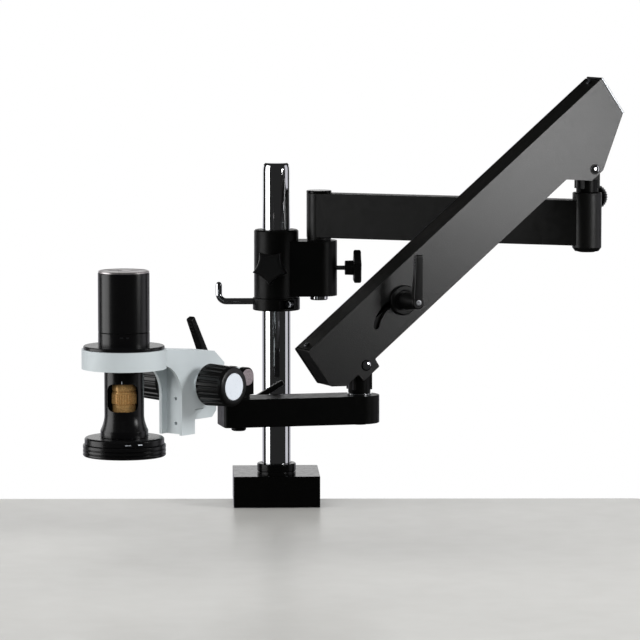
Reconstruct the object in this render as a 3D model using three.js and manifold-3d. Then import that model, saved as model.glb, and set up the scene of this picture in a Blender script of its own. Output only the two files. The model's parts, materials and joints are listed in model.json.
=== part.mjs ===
// Digital inspection microscope on a focusing rack, carried by a sprung parallelogram arm
// that swings on a chrome pole clamped to a table edge.
// Millimetres, +Z up. The origin is on the pole's axis, on the underside of the clamp's
// upper jaw, which is the table's surface. +X runs along the table edge, +Y away from the user.
import * as THREE from 'three';
import { mergeVertices } from 'three/addons/utils/BufferGeometryUtils.js';
import Module from 'manifold-3d';

const wasm = await Module();
wasm.setup();

const DEG = Math.PI / 180;
const GAP = 0.3;

// ---------------------------------------------------------------- driving dimensions

const CLAMP = {
  halfWidth: 48.7, front: -22, back: 76, height: 35, corner: 3, bevel: 1.2,
  spineFront: 54, lowerHalfWidth: 28, throat: 58, lowerThickness: 18, lowerFront: -12,
  seatFloor: 6, screwY: 16, screwRadius: 7, headRadius: 11, padRadius: 20, padThickness: 8,
  padTop: -30, screwLength: 100, barRadius: 4, barHalf: 52,
};
const POLE = { radius: 15.875, top: 387.5, taper: 9, tipRadius: 14 };
const FLANGE = { radius: 22, height: 13 };
const COLLAR = { radius: 26.5, low: 222, high: 235.7, turn: -30, screwOffset: 21, screwZ: 229.3 };
const HOOK = { radius: 3.6, z: 231.5, reach: 64.7, bend: 8, top: 253.6, root: 21 };
const SLEEVE = { radius: 25, low: 236.1, high: 312.5, blockLow: 238, blockHigh: 300.2 };
const PIVOT = { offset: 48, bossRadius: 20.4, boltRadius: 6.3, headRadius: 10.25, headHeight: 4.7 };
const STAR = {
  lobes: 5, inner: 14, outer: 20.6, tipRound: 0.5, thickness: 8.8, hubRadius: 8, hubLength: 9.6,
};
const FRONT_KNOB = { yaw: -101.5, z: 273, face: 45, studRadius: 4, lobeAngle: 53 };
const SIDE_KNOB = { z: 269, face: 95.5, studRadius: 2.5, lobeAngle: 18 };

const SWING = {
  yaw: -23.5, reach: 315.5, halfThickness: 14, low: 303.8, high: 353.5, leftRadius: 13.7,
  leftLow: 300.5, capRadius: 14.2, capHeight: 3, rightRadius: 16, rightLow: 297.5, rightHigh: 362,
};
const ELBOW_KNOB = { z: 355, radius: 14, from: 24, to: 32, collarRadius: 8, studRadius: 2.5 };

const BRACKET = { postRadius: 12, studRadius: 9, tongueHalf: 9, holeRadius: 4.3, pinRadius: 4, crown: 11 };
const BOOM = {
  yaw: 23.06, run: 276.3, upperPivot: 388, lowerPivot: 186, linkOffset: 32, tilt: 38.8,
  halfWidth: 17.5, plate: 2, cover: 1.8, seam: 0.8,
  top: 72, bottom: 14, lowEnd: -384.3, lowHeel: -387.4, lowToe: -373.7, heel: 25.5,
  tabLow: 4.4, tabFrom: -355.3, tabTo: -331,
};
const LINK = { thickness: 4, halfHeight: 7, endRadius: 8, front: -14, studX: -285.8, studZ: 3.5 };
const SLOT = { from: 46, to: 132, halfWidth: 3.6 };
const STUD = { radius: 3, washerRadius: 16, washer: 3.6, reach: 36 };
const SPRING = {
  mean: 5.2, wire: 0.9, turns: 12, hook: -12, from: -24, to: -148, anchor: -165, end: 4, y: 7,
  sides: 2,
};

const TIP = {
  yaw: 191.14, length: 132, halfWidth: 21.5, low: 123, high: 153, overhang: 19.5, corner: 5,
};
const HEAD = { yaw: 48.44, reach: 180.3, tiltZ: 175.7 };
const POST = { radius: 12, floor: 159.5, cheekIn: 5.3, cheekOut: 12, headRadius: 10.5 };
const TILT_PIN = { radius: 4, discRadius: 8.8, discHeight: 1.4, leftReach: 26 };
const TILT_LEVER = { hub: 32.5, arm: 70, angle: 63.5, root: 11.2, end: 8.2 };
const TIP_LEVER = { hub: 24, arm: 67, z: 130, lean: 60, root: 7.6, end: 6.2 };
const SLOT_LEVER = { hub: 33, arm: 51, root: 8.6, end: 6.8 };

const SLIDE = {
  halfWidth: 11.8, low: 138.5, footTop: 149, footFront: 92.7, barFront: 110.3, back: 131,
  top: 193, tongueHalf: 5, tongueHeight: 19.4, chamfer: 7,
};
const RACK = { pitchLine: 106.5, back: 110, halfWidth: 5.5, low: 150.5, high: 192 };
const GEAR = { module: 1, teeth: 10, shaftRadius: 3.6, halfFace: 4.6 };
const RING = { inner: 38.7, outer: 43.6, low: 199.8, high: 219.8 };
const CARRIAGE = {
  halfWidth: 15.8, cheek: 3.5, front: 71.5, channelFloor: 79.5, webBack: 92, low: 124,
  hoodLow: 163, hoodBack: 139, skirtLow: 150, skirtBack: 109.5, roof: 204.5,
  archX: 40, archZ: 165, archRun: 31.5, archRise: 35,
  topAtNeck: 217.1, neck: 39.5, topAtBreak: 208.9, breakX: 123, rearZ: 195.5,
  bossRadius: 11, bossOut: 25.2,
};
const KNOB = { x: 101.5, z: 176, radius: 22, inner: 25.6, outer: 62, ribs: 16, capRadius: 14.3 };

const FLANGE_PLATE = { radius: 41.75, low: 220.1, high: 223.5, lipRadius: 38.3, lipLow: 212 };
const CAMERA = { radius: 26.5, baseHigh: 237.2, shellLow: 237.8, shellHigh: 298.2, top: 300.5, wall: 2.2 };
const BARREL = { radius: 20.4, bore: 17.6, low: 129.3, flareLow: 136, flareHigh: 152, flareRadius: 24.6 };
const WINDOW = { yaw: -96, halfWidth: 15.8, low: 156.3, high: 185, corner: 8 };
const ZOOM = { radius: 12.9, bore: 9.6, low: 153.5, high: 187.5 };
const OPTIC = { radius: 9.2, bore: 7.6, low: 131, high: 219 };
const LIGHT = {
  housingRadius: 41, housingLow: 122, housingHigh: 129, ringRadius: 42.7, ringLow: 109.6,
  ringHigh: 121.6, hole: 12.5,
};

// plan positions of the vertical axes, worked out along the arm
const shoulder = new THREE.Vector2(PIVOT.offset, 0);
const along = (start, yaw, length) => new THREE.Vector2(
  start.x + length * Math.cos(yaw * DEG),
  start.y + length * Math.sin(yaw * DEG),
);
const elbow = along(shoulder, SWING.yaw, SWING.reach);
const wrist = along(elbow, BOOM.yaw, -BOOM.run);
const tip = along(wrist, TIP.yaw, TIP.length);
const head = along(tip, HEAD.yaw, -HEAD.reach);

// ---------------------------------------------------------------- finishes

const FINISHES = {
  powderBlack: { color: 0x1c1c1e, roughness: 0.6, metalness: 0.2 },
  castBlack: { color: 0x1c1c1e, roughness: 0.6, metalness: 0.25 },
  texturedBlack: { color: 0x3a3b3d, roughness: 0.75, metalness: 0.1 },
  anodised: { color: 0x111113, roughness: 0.35, metalness: 0.6 },
  chrome: { color: 0xd8dade, roughness: 0.08, metalness: 1 },
  zinc: { color: 0x9a9ca0, roughness: 0.35, metalness: 1 },
  blackPlastic: { color: 0x0d0d0e, roughness: 0.45, metalness: 0 },
  whiteEnamel: { color: 0xcdd4d6, roughness: 0.5, metalness: 0 },
  capWhite: { color: 0xe9eef4, roughness: 0.4, metalness: 0 },
  silverCap: { color: 0xc9c3c2, roughness: 0.3, metalness: 0.8 },
  brass: { color: 0xc08a3a, roughness: 0.35, metalness: 0.9 },
  brownRubber: { color: 0x3a1512, roughness: 0.7, metalness: 0 },
  speckle: { color: 0x8a7f84, roughness: 0.8, metalness: 0.2 },
  spring: { color: 0x6c6e72, roughness: 0.4, metalness: 1 },
  circuit: { color: 0x1d5c36, roughness: 0.6, metalness: 0 },
  glass: { color: 0x9fb4c8, roughness: 0.05, metalness: 0 },
  diffuser: { color: 0xf2f2ee, roughness: 0.6, metalness: 0 },
};

// ---------------------------------------------------------------- solids from geometry

// A closed geometry as a manifold solid: shared vertices merged, empty triangles dropped,
// faces turned outwards.
function toSolid(geometry) {
  const bare = geometry.clone();
  bare.deleteAttribute('normal');
  bare.deleteAttribute('uv');
  const merged = mergeVertices(bare, 1e-4);
  const points = merged.getAttribute('position').array;
  const corners = merged.getIndex().array;
  const triangles = [];
  let volume = 0;
  const [a, b, c] = [new THREE.Vector3(), new THREE.Vector3(), new THREE.Vector3()];
  for (let i = 0; i < corners.length; i += 3) {
    const [p, q, r] = [corners[i], corners[i + 1], corners[i + 2]];
    if (p === q || q === r || r === p) continue;
    triangles.push(p, q, r);
    a.fromArray(points, p * 3);
    b.fromArray(points, q * 3);
    c.fromArray(points, r * 3);
    volume += a.dot(b.cross(c));
  }
  if (volume < 0) {
    for (let i = 0; i < triangles.length; i += 3) {
      [triangles[i + 1], triangles[i + 2]] = [triangles[i + 2], triangles[i + 1]];
    }
  }
  return new wasm.Manifold(new wasm.Mesh({
    numProp: 3,
    vertProperties: new Float32Array(points),
    triVerts: new Uint32Array(triangles),
  }));
}

function toGeometry(solid) {
  const mesh = solid.getMesh();
  const geometry = new THREE.BufferGeometry();
  geometry.setAttribute('position', new THREE.BufferAttribute(new Float32Array(mesh.vertProperties), 3));
  geometry.setIndex(new THREE.BufferAttribute(new Uint32Array(mesh.triVerts), 1));
  return geometry;
}

const join = (...parts) => toGeometry(parts.map(toSolid).reduce((sum, part) => sum.add(part)));

const cut = (base, ...tools) => toGeometry(
  tools.map(toSolid).reduce((rest, tool) => rest.subtract(tool), toSolid(base)),
);


// ---------------------------------------------------------------- basic shapes

function box(x0, x1, y0, y1, z0, z1) {
  return new THREE.BoxGeometry(x1 - x0, y1 - y0, z1 - z0)
    .translate((x0 + x1) / 2, (y0 + y1) / 2, (z0 + z1) / 2);
}

function cylinder(radius, low, high, segments = 24) {
  return new THREE.CylinderGeometry(radius, radius, high - low, segments)
    .rotateX(Math.PI / 2)
    .translate(0, 0, (low + high) / 2);
}

// cylinder or cone between two points
function rod(from, to, radius, segments = 16, endRadius = radius) {
  const start = new THREE.Vector3(...from);
  const span = new THREE.Vector3(...to).sub(start);
  const turn = new THREE.Quaternion().setFromUnitVectors(
    new THREE.Vector3(0, 1, 0), span.clone().normalize(),
  );
  const middle = start.clone().addScaledVector(span, 0.5);
  return new THREE.CylinderGeometry(endRadius, radius, span.length(), segments)
    .applyQuaternion(turn)
    .translate(middle.x, middle.y, middle.z);
}

// solid of revolution about Z from [radius, z] points that start and end on the axis
function turned(profile, segments = 24) {
  const points = profile.map(([radius, z]) => new THREE.Vector2(radius, z));
  return new THREE.LatheGeometry(points, segments).rotateX(Math.PI / 2);
}

// solid of revolution about Z from a loop of [radius, z] points
const turnedRing = (loop, segments = 24) => turned([...loop, loop[0]], segments);

const washerShape = (inner, outer, low, high, segments = 24) => turnedRing(
  [[inner, low], [outer, low], [outer, high], [inner, high]], segments,
);

const polygon = (points) => new THREE.Shape(points.map(([x, y]) => new THREE.Vector2(x, y)));

function roundedRectangle(x0, x1, y0, y1, radius) {
  const shape = new THREE.Shape();
  shape.absarc(x1 - radius, y1 - radius, radius, 0, Math.PI / 2);
  shape.absarc(x0 + radius, y1 - radius, radius, Math.PI / 2, Math.PI);
  shape.absarc(x0 + radius, y0 + radius, radius, Math.PI, 1.5 * Math.PI);
  shape.absarc(x1 - radius, y0 + radius, radius, 1.5 * Math.PI, 2 * Math.PI);
  return shape;
}

// two round ends joined by straight sides, along X
function stadium(x0, x1, radius) {
  const shape = new THREE.Shape();
  shape.absarc(x1, 0, radius, -Math.PI / 2, Math.PI / 2);
  shape.absarc(x0, 0, radius, Math.PI / 2, 1.5 * Math.PI);
  return shape;
}

// an outline in the XY plane raised from low to high, with an optional edge bevel
function slabXY(shape, low, high, { bevel = 0, curveSegments = 4 } = {}) {
  return new THREE.ExtrudeGeometry(shape, {
    depth: high - low - 2 * bevel,
    bevelEnabled: bevel > 0,
    bevelThickness: bevel,
    bevelSize: bevel,
    bevelOffset: -bevel,
    bevelSegments: 1,
    curveSegments,
  }).translate(0, 0, low + bevel);
}

// an outline given as (x, z), spanning low to high along Y
const slabXZ = (shape, low, high, options) => slabXY(shape, -high, -low, options).rotateX(Math.PI / 2);

// an outline given as (y, z), spanning low to high along X
function slabYZ(shape, low, high, options) {
  const cycle = new THREE.Matrix4().set(0, 0, 1, 0, 1, 0, 0, 0, 0, 1, 0, 0, 0, 0, 0, 1);
  return slabXY(shape, low, high, options).applyMatrix4(cycle);
}

// a strip of even thickness laid along a run of [x, z] points, as an outline
function stripShape(points, thickness) {
  const inner = points.map(([x, z], i) => {
    const [px, pz] = points[Math.max(i - 1, 0)];
    const [nx, nz] = points[Math.min(i + 1, points.length - 1)];
    const length = Math.hypot(nx - px, nz - pz);
    return [x - ((nz - pz) / length) * thickness, z + ((nx - px) / length) * thickness];
  });
  return polygon([...points, ...inner.reverse()]);
}

// ---------------------------------------------------------------- pieces and groups

const assembly = new THREE.Group();

function group(parent, x, y, z, yaw = 0) {
  const child = new THREE.Group();
  child.position.set(x, y, z);
  child.rotation.z = yaw * DEG;
  parent.add(child);
  return child;
}

function piece(parent, name, finish, geometry) {
  const closed = toGeometry(toSolid(geometry));
  const mesh = new THREE.Mesh(closed, new THREE.MeshStandardMaterial(FINISHES[finish]));
  mesh.name = name;
  parent.add(mesh);
  return mesh;
}

// Five-lobed clamping knob with its stud, axis along +X, outer face at the given distance.
// Radius of a star whose points are joined by concave arcs, at an angle from a valley
function starRadius(fromValley) {
  const halfStep = Math.PI / STAR.lobes;
  const centre = (STAR.outer ** 2 - STAR.inner ** 2)
    / (2 * (STAR.outer * Math.cos(halfStep) - STAR.inner));
  const arc = centre - STAR.inner;
  const reach = Math.sqrt(arc ** 2 - (centre * Math.sin(fromValley)) ** 2);
  return Math.min(centre * Math.cos(fromValley) - reach, STAR.outer - STAR.tipRound);
}

function starKnob({ face, studRadius, studTip, z, lobeAngle }) {
  const outline = [];
  const stepsPerLobe = 8;
  for (let i = 0; i < STAR.lobes * stepsPerLobe; i += 1) {
    const halfLobe = stepsPerLobe / 2;
    const fromPoint = (Math.abs((i % stepsPerLobe) - halfLobe) / halfLobe) * (Math.PI / STAR.lobes);
    const angle = ((i - halfLobe) / stepsPerLobe / STAR.lobes) * 2 * Math.PI + lobeAngle * DEG;
    const radius = starRadius(Math.PI / STAR.lobes - fromPoint);
    outline.push([radius * Math.cos(angle), z + radius * Math.sin(angle)]);
  }
  const back = face - STAR.thickness;
  return join(
    slabYZ(polygon(outline), back, face, { bevel: 1 }),
    rod([back - STAR.hubLength, 0, z], [back + 1, 0, z], STAR.hubRadius, 20),
    rod([studTip, 0, z], [back, 0, z], studRadius, 16),
  );
}

// Clamping lever on a conical hub: hub axis along +X from the origin, arm rising along +Z
// and leaning outwards.
function clampLever({ hub, arm, root, end, lean = 3, bore = STUD.radius, boreDepth = 14 }) {
  const armProfile = polygon([
    [hub - root, 0], [hub, 0], [hub + lean, arm], [hub + lean - end, arm],
  ]);
  const body = join(
    rod([0, 0, 0], [hub, 0, 0], 9.5, 24, 6.2),
    slabXZ(armProfile, -root / 2, root / 2, { bevel: 1.2 }),
  );
  return cut(body, rod([-1, 0, 0], [boreDepth, 0, 0], bore + GAP, 16));
}

// ---------------------------------------------------------------- table clamp and pole

function buildClamp() {
  const C = CLAMP;
  const lowerBottom = -C.throat - C.lowerThickness;
  const block = slabXY(
    roundedRectangle(-C.halfWidth, C.halfWidth, C.front, C.back, C.corner), 0, C.height,
    { bevel: C.bevel, curveSegments: 1 },
  );
  const hook = polygon([
    [C.spineFront, C.height - 5], [C.spineFront, -C.throat], [C.lowerFront, -C.throat],
    [C.lowerFront, lowerBottom + 6], [C.lowerFront + 6, lowerBottom], [C.back - 8, lowerBottom],
    [C.back - 1, lowerBottom + 8], [C.back - 1, C.height - 5],
  ]);
  const frame = cut(
    join(block, slabYZ(hook, -C.lowerHalfWidth, C.lowerHalfWidth)),
    cylinder(POLE.radius + GAP, C.seatFloor, C.height + 5, 22),
    cylinder(C.screwRadius + GAP, lowerBottom - 5, -C.throat + 5, 20).translate(0, C.screwY, 0),
  );
  piece(assembly, 'clamp_frame', 'powderBlack', frame);

  const screw = group(assembly, 0, C.screwY, 0);
  const padLow = C.padTop - C.padThickness;
  piece(screw, 'clamp_pad', 'powderBlack', turned([
    [0, C.padTop], [C.padRadius, C.padTop], [C.padRadius, C.padTop - 5], [C.padRadius - 6, padLow],
    [8.4, padLow], [8.4, padLow + 4], [0, padLow + 4],
  ], 18));
  const headTop = padLow - C.screwLength + 18;
  const headLow = headTop - 18;
  const barZ = headLow + 9;
  piece(screw, 'clamp_screw', 'zinc', cut(
    turned([
      [0, padLow + 4 - GAP], [8.4 - GAP, padLow + 4 - GAP], [8.4 - GAP, padLow - GAP],
      [C.screwRadius, padLow - 2], [C.screwRadius, headTop + 3], [C.headRadius, headTop],
      [C.headRadius, headLow + 1], [C.headRadius - 1, headLow], [0, headLow],
    ], 20),
    rod([-20, 0, barZ], [20, 0, barZ], C.barRadius + GAP, 16),
  ));
  piece(screw, 'clamp_tbar', 'zinc', join(
    rod([-C.barHalf, 0, barZ], [C.barHalf, 0, barZ], C.barRadius, 16),
    rod([-C.barHalf - 4, 0, barZ], [-C.barHalf + 8, 0, barZ], 6.5, 16),
    rod([C.barHalf - 8, 0, barZ], [C.barHalf + 4, 0, barZ], 6.5, 16),
  ));
}

function buildPole() {
  const seat = CLAMP.seatFloor + GAP;
  piece(assembly, 'pole', 'chrome', turned([
    [0, seat], [POLE.radius, seat], [POLE.radius, POLE.top - POLE.taper],
    [POLE.tipRadius + 0.7, POLE.top - 1.6], [POLE.tipRadius - 0.9, POLE.top], [0, POLE.top],
  ], 24));
  const low = CLAMP.height + GAP;
  const high = low + FLANGE.height;
  piece(assembly, 'pole_flange', 'powderBlack', turnedRing([
    [POLE.radius + GAP, low], [FLANGE.radius, low], [FLANGE.radius, high - 1],
    [FLANGE.radius - 1, high], [POLE.radius + GAP, high],
  ], 22));
}

// ---------------------------------------------------------------- collar, sleeve and knobs

function hookRod() {
  const corner = -HOOK.reach + HOOK.bend;
  const path = new THREE.CurvePath();
  path.add(new THREE.LineCurve3(
    new THREE.Vector3(-HOOK.root, 0, HOOK.z), new THREE.Vector3(corner, 0, HOOK.z),
  ));
  path.add(new THREE.QuadraticBezierCurve3(
    new THREE.Vector3(corner, 0, HOOK.z),
    new THREE.Vector3(-HOOK.reach, 0, HOOK.z),
    new THREE.Vector3(-HOOK.reach, 0, HOOK.z + HOOK.bend),
  ));
  path.add(new THREE.LineCurve3(
    new THREE.Vector3(-HOOK.reach, 0, HOOK.z + HOOK.bend),
    new THREE.Vector3(-HOOK.reach, 0, HOOK.top - HOOK.radius),
  ));
  const section = new THREE.Shape().absarc(0, 0, HOOK.radius, 0, 2 * Math.PI);
  const wire = new THREE.ExtrudeGeometry(section, {
    steps: 12, bevelEnabled: false, extrudePath: path, curveSegments: 4,
  });
  const end = new THREE.SphereGeometry(HOOK.radius, 8, 6)
    .translate(-HOOK.reach, 0, HOOK.top - HOOK.radius);
  return join(wire, end);
}

function buildCollar() {
  const bore = POLE.radius + GAP;
  const turn = COLLAR.turn * DEG;
  const ring = turnedRing([
    [bore, COLLAR.low], [COLLAR.radius - 0.8, COLLAR.low], [COLLAR.radius, COLLAR.low + 0.8],
    [COLLAR.radius, COLLAR.high], [bore, COLLAR.high],
  ], 24);
  const { screwOffset: offset, screwZ: z } = COLLAR;
  const slit = box(14, 30, -0.9, 0.9, COLLAR.low - 1, COLLAR.high + 1).rotateZ(turn);
  const notch = box(15.8, 30, -30, -6, z - 4.8, z + 4.6).rotateZ(turn);
  const thread = rod([offset, -10, z], [offset, 14, z], 2.5, 16).rotateZ(turn);
  const socket = rod([-HOOK.root + GAP, 0, HOOK.z], [-30, 0, HOOK.z], HOOK.radius + GAP, 16);
  piece(assembly, 'stop_collar', 'castBlack', cut(ring, slit, notch, thread, socket));
  const screw = cut(
    join(rod([offset, -11, z], [offset, -6.4, z], 4, 16), rod([offset, -7, z], [offset, 12, z], 2.1, 14)),
    rod([offset, -12, z], [offset, -8.6, z], 2.1, 6),
  );
  piece(assembly, 'collar_screw', 'zinc', screw.rotateZ(turn));
  piece(assembly, 'collar_hook', 'chrome', hookRod());
}

function buildSleeve() {
  const { bossRadius, offset } = PIVOT;
  const tube = turned([
    [0, SLEEVE.low], [SLEEVE.radius, SLEEVE.low], [SLEEVE.radius, SLEEVE.high - 1.5],
    [SLEEVE.radius - 1.5, SLEEVE.high], [0, SLEEVE.high],
  ], 24);
  const block = new THREE.Shape();
  block.moveTo(0, -bossRadius);
  block.absarc(offset, 0, bossRadius, -Math.PI / 2, Math.PI / 2);
  block.lineTo(0, bossRadius);
  const frontHole = rod([0, 0, FRONT_KNOB.z], [40, 0, FRONT_KNOB.z], FRONT_KNOB.studRadius + GAP, 16)
    .rotateZ(FRONT_KNOB.yaw * DEG);
  const sideBore = SIDE_KNOB.studRadius + GAP;
  const sideHole = rod([offset, 0, SIDE_KNOB.z], [offset + 30, 0, SIDE_KNOB.z], sideBore, 16);
  piece(assembly, 'pole_sleeve', 'castBlack', cut(
    join(tube, slabXY(block, SLEEVE.blockLow, SLEEVE.blockHigh, { bevel: 0.8, curveSegments: 8 })),
    cylinder(POLE.radius + GAP, SLEEVE.low - 5, SLEEVE.high + 5, 24),
    cylinder(PIVOT.boltRadius + GAP, 200, 320, 20).translate(offset, 0, 0),
    frontHole,
    sideHole,
  ));

  const front = group(assembly, 0, 0, 0, FRONT_KNOB.yaw);
  piece(front, 'front_knob', 'blackPlastic', starKnob({
    ...FRONT_KNOB, studTip: POLE.radius + GAP,
  }));
  piece(assembly, 'side_knob', 'blackPlastic', starKnob({
    ...SIDE_KNOB, studTip: offset + PIVOT.boltRadius + GAP,
  }));
}

// ---------------------------------------------------------------- swing arm

function buildSwingArm() {
  const S = SWING;
  const arm = group(assembly, shoulder.x, shoulder.y, 0, S.yaw);
  const bar = box(0, S.reach, -S.halfThickness, S.halfThickness, S.low, S.high);
  const nose = cylinder(S.halfThickness, S.low, S.high, 20);
  const foot = cylinder(S.leftRadius, S.leftLow, S.low + 5, 20);
  const knuckle = turned([
    [0, S.rightLow], [S.rightRadius - 3, S.rightLow], [S.rightRadius, S.rightLow + 4],
    [S.rightRadius, S.rightHigh - 0.8], [S.rightRadius - 0.8, S.rightHigh], [0, S.rightHigh],
  ], 22).translate(S.reach, 0, 0);
  const stud = cylinder(BRACKET.studRadius + GAP, S.rightLow + 3, S.rightHigh + 5, 18);
  const plugSeat = cylinder(11, S.rightLow - 5, S.rightLow + 3.2, 18);
  const knobHole = rod(
    [S.reach, BRACKET.studRadius, ELBOW_KNOB.z], [S.reach, 30, ELBOW_KNOB.z],
    ELBOW_KNOB.studRadius + GAP, 14,
  );
  piece(arm, 'swing_arm', 'castBlack', cut(
    join(bar, nose, foot, knuckle),
    cylinder(PIVOT.boltRadius + GAP, S.leftLow - 5, 350.5, 20),
    stud.translate(S.reach, 0, 0),
    plugSeat.translate(S.reach, 0, 0),
    knobHole,
  ));
  piece(arm, 'pivot_bolt', 'chrome', turned([
    [0, SLEEVE.blockLow - GAP - PIVOT.headHeight],
    [PIVOT.headRadius - 1, SLEEVE.blockLow - GAP - PIVOT.headHeight],
    [PIVOT.headRadius, SLEEVE.blockLow - GAP - PIVOT.headHeight + 1],
    [PIVOT.headRadius, SLEEVE.blockLow - GAP], [PIVOT.boltRadius, SLEEVE.blockLow - GAP],
    [PIVOT.boltRadius, 350], [0, 350],
  ], 20));
  piece(arm, 'arm_cap', 'powderBlack', turned([
    [0, S.high + GAP], [S.capRadius, S.high + GAP], [S.capRadius, S.high + S.capHeight - 0.6],
    [S.capRadius - 0.8, S.high + S.capHeight], [0, S.high + S.capHeight],
  ], 20));
  piece(arm, 'elbow_plug', 'brownRubber', turned([
    [0, S.rightLow - 1], [8.5, S.rightLow - 1], [10.6, S.rightLow - 0.2],
    [10.6, S.rightLow + 2.8], [0, S.rightLow + 2.8],
  ], 18).translate(S.reach, 0, 0));

  const K = ELBOW_KNOB;
  const rim = [];
  const ribs = 18;
  for (let i = 0; i < 2 * ribs; i += 1) {
    const angle = (i / ribs) * Math.PI;
    const radius = K.radius - (i % 2) * 0.9;
    rim.push([radius * Math.cos(angle), K.z + radius * Math.sin(angle)]);
  }
  const knob = join(
    slabXZ(polygon(rim), K.from, K.to, { bevel: 0.8 }),
    rod([0, S.rightRadius + 3, K.z], [0, K.from + 1, K.z], K.collarRadius, 16),
    rod([0, BRACKET.studRadius + GAP, K.z], [0, K.from, K.z], K.studRadius, 14),
  );
  piece(arm, 'elbow_knob', 'blackPlastic', knob.translate(S.reach, 0, 0));
}

// ---------------------------------------------------------------- spring arm

// post and upright tongue of a boom bracket: pivot height, base height and stud foot
function bracket(base, studFoot, pivot) {
  const crownZ = pivot + BOOM.linkOffset;
  const tongue = new THREE.Shape();
  tongue.moveTo(-BRACKET.crown, base + 4);
  tongue.lineTo(BRACKET.crown, base + 4);
  tongue.absarc(0, crownZ, BRACKET.crown, 0, Math.PI);
  const body = join(
    cylinder(BRACKET.studRadius, studFoot, base + 2, 18),
    cylinder(BRACKET.postRadius, base, pivot - 12, 20),
    slabXZ(tongue, -BRACKET.tongueHalf, BRACKET.tongueHalf, { curveSegments: 5 }),
  );
  const hole = (z) => rod([0, -20, z], [0, 20, z], BRACKET.holeRadius, 16);
  return cut(body, hole(pivot), hole(crownZ));
}

// position in the boom's plane, from the upper pivot, turned into the housing's own axes
function inHousing(run, rise) {
  const cos = Math.cos(BOOM.tilt * DEG);
  const sin = Math.sin(BOOM.tilt * DEG);
  return [run * cos + rise * sin, rise * cos - run * sin];
}

const pivotDrop = BOOM.lowerPivot - BOOM.upperPivot;
const pivotSlope = Math.atan2(-pivotDrop, BOOM.run);
const [lowerU, lowerV] = inHousing(-BOOM.run, pivotDrop);

// point on the tie rod's own axes, as (run, rise) from the housing's upper pivot
function fromLink(x, z) {
  const cos = Math.cos(pivotSlope);
  const sin = Math.sin(pivotSlope);
  return [x * cos - z * sin, BOOM.linkOffset + x * sin + z * cos];
}

function sidePlateShape() {
  const B = BOOM;
  return polygon([
    [B.lowEnd, B.top], [B.lowHeel, B.heel], [B.lowToe, B.bottom], [B.tabFrom, B.bottom],
    [B.tabFrom + 0.5, B.tabLow], [B.tabTo, B.tabLow], [B.tabTo + 1.2, B.bottom], [-33.8, B.bottom],
    [-10.6, -7.4], [7.2, -7.6], [64, 25], [67, B.top],
  ]);
}

function arcSlot() {
  const [studRun, studRise] = fromLink(LINK.studX, LINK.studZ);
  const [u, v] = inHousing(studRun, studRise - BOOM.linkOffset);
  const radius = BOOM.linkOffset;
  const [from, to] = [SLOT.from * DEG, SLOT.to * DEG];
  const slot = new THREE.Shape();
  slot.absarc(u, v, radius + SLOT.halfWidth, from, to, false);
  const farEnd = [u + radius * Math.cos(to), v + radius * Math.sin(to)];
  slot.absarc(...farEnd, SLOT.halfWidth, to, to + Math.PI, false);
  slot.absarc(u, v, radius - SLOT.halfWidth, to, from, true);
  const nearEnd = [u + radius * Math.cos(from), v + radius * Math.sin(from)];
  slot.absarc(...nearEnd, SLOT.halfWidth, from + Math.PI, from + 2 * Math.PI, false);
  return slabXZ(slot, -40, 0, { curveSegments: 5 });
}

function pivotBolt(u, v) {
  const W = BOOM.halfWidth;
  return join(
    rod([u, -W - GAP, v], [u, -W - 2.6, v], 4.9, 20, 4.2),
    rod([u, -W - 1, v], [u, W + 1, v], BRACKET.pinRadius, 16),
    rod([u, W + GAP, v], [u, W + 3.6, v], 5.2, 6),
  );
}

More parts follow.
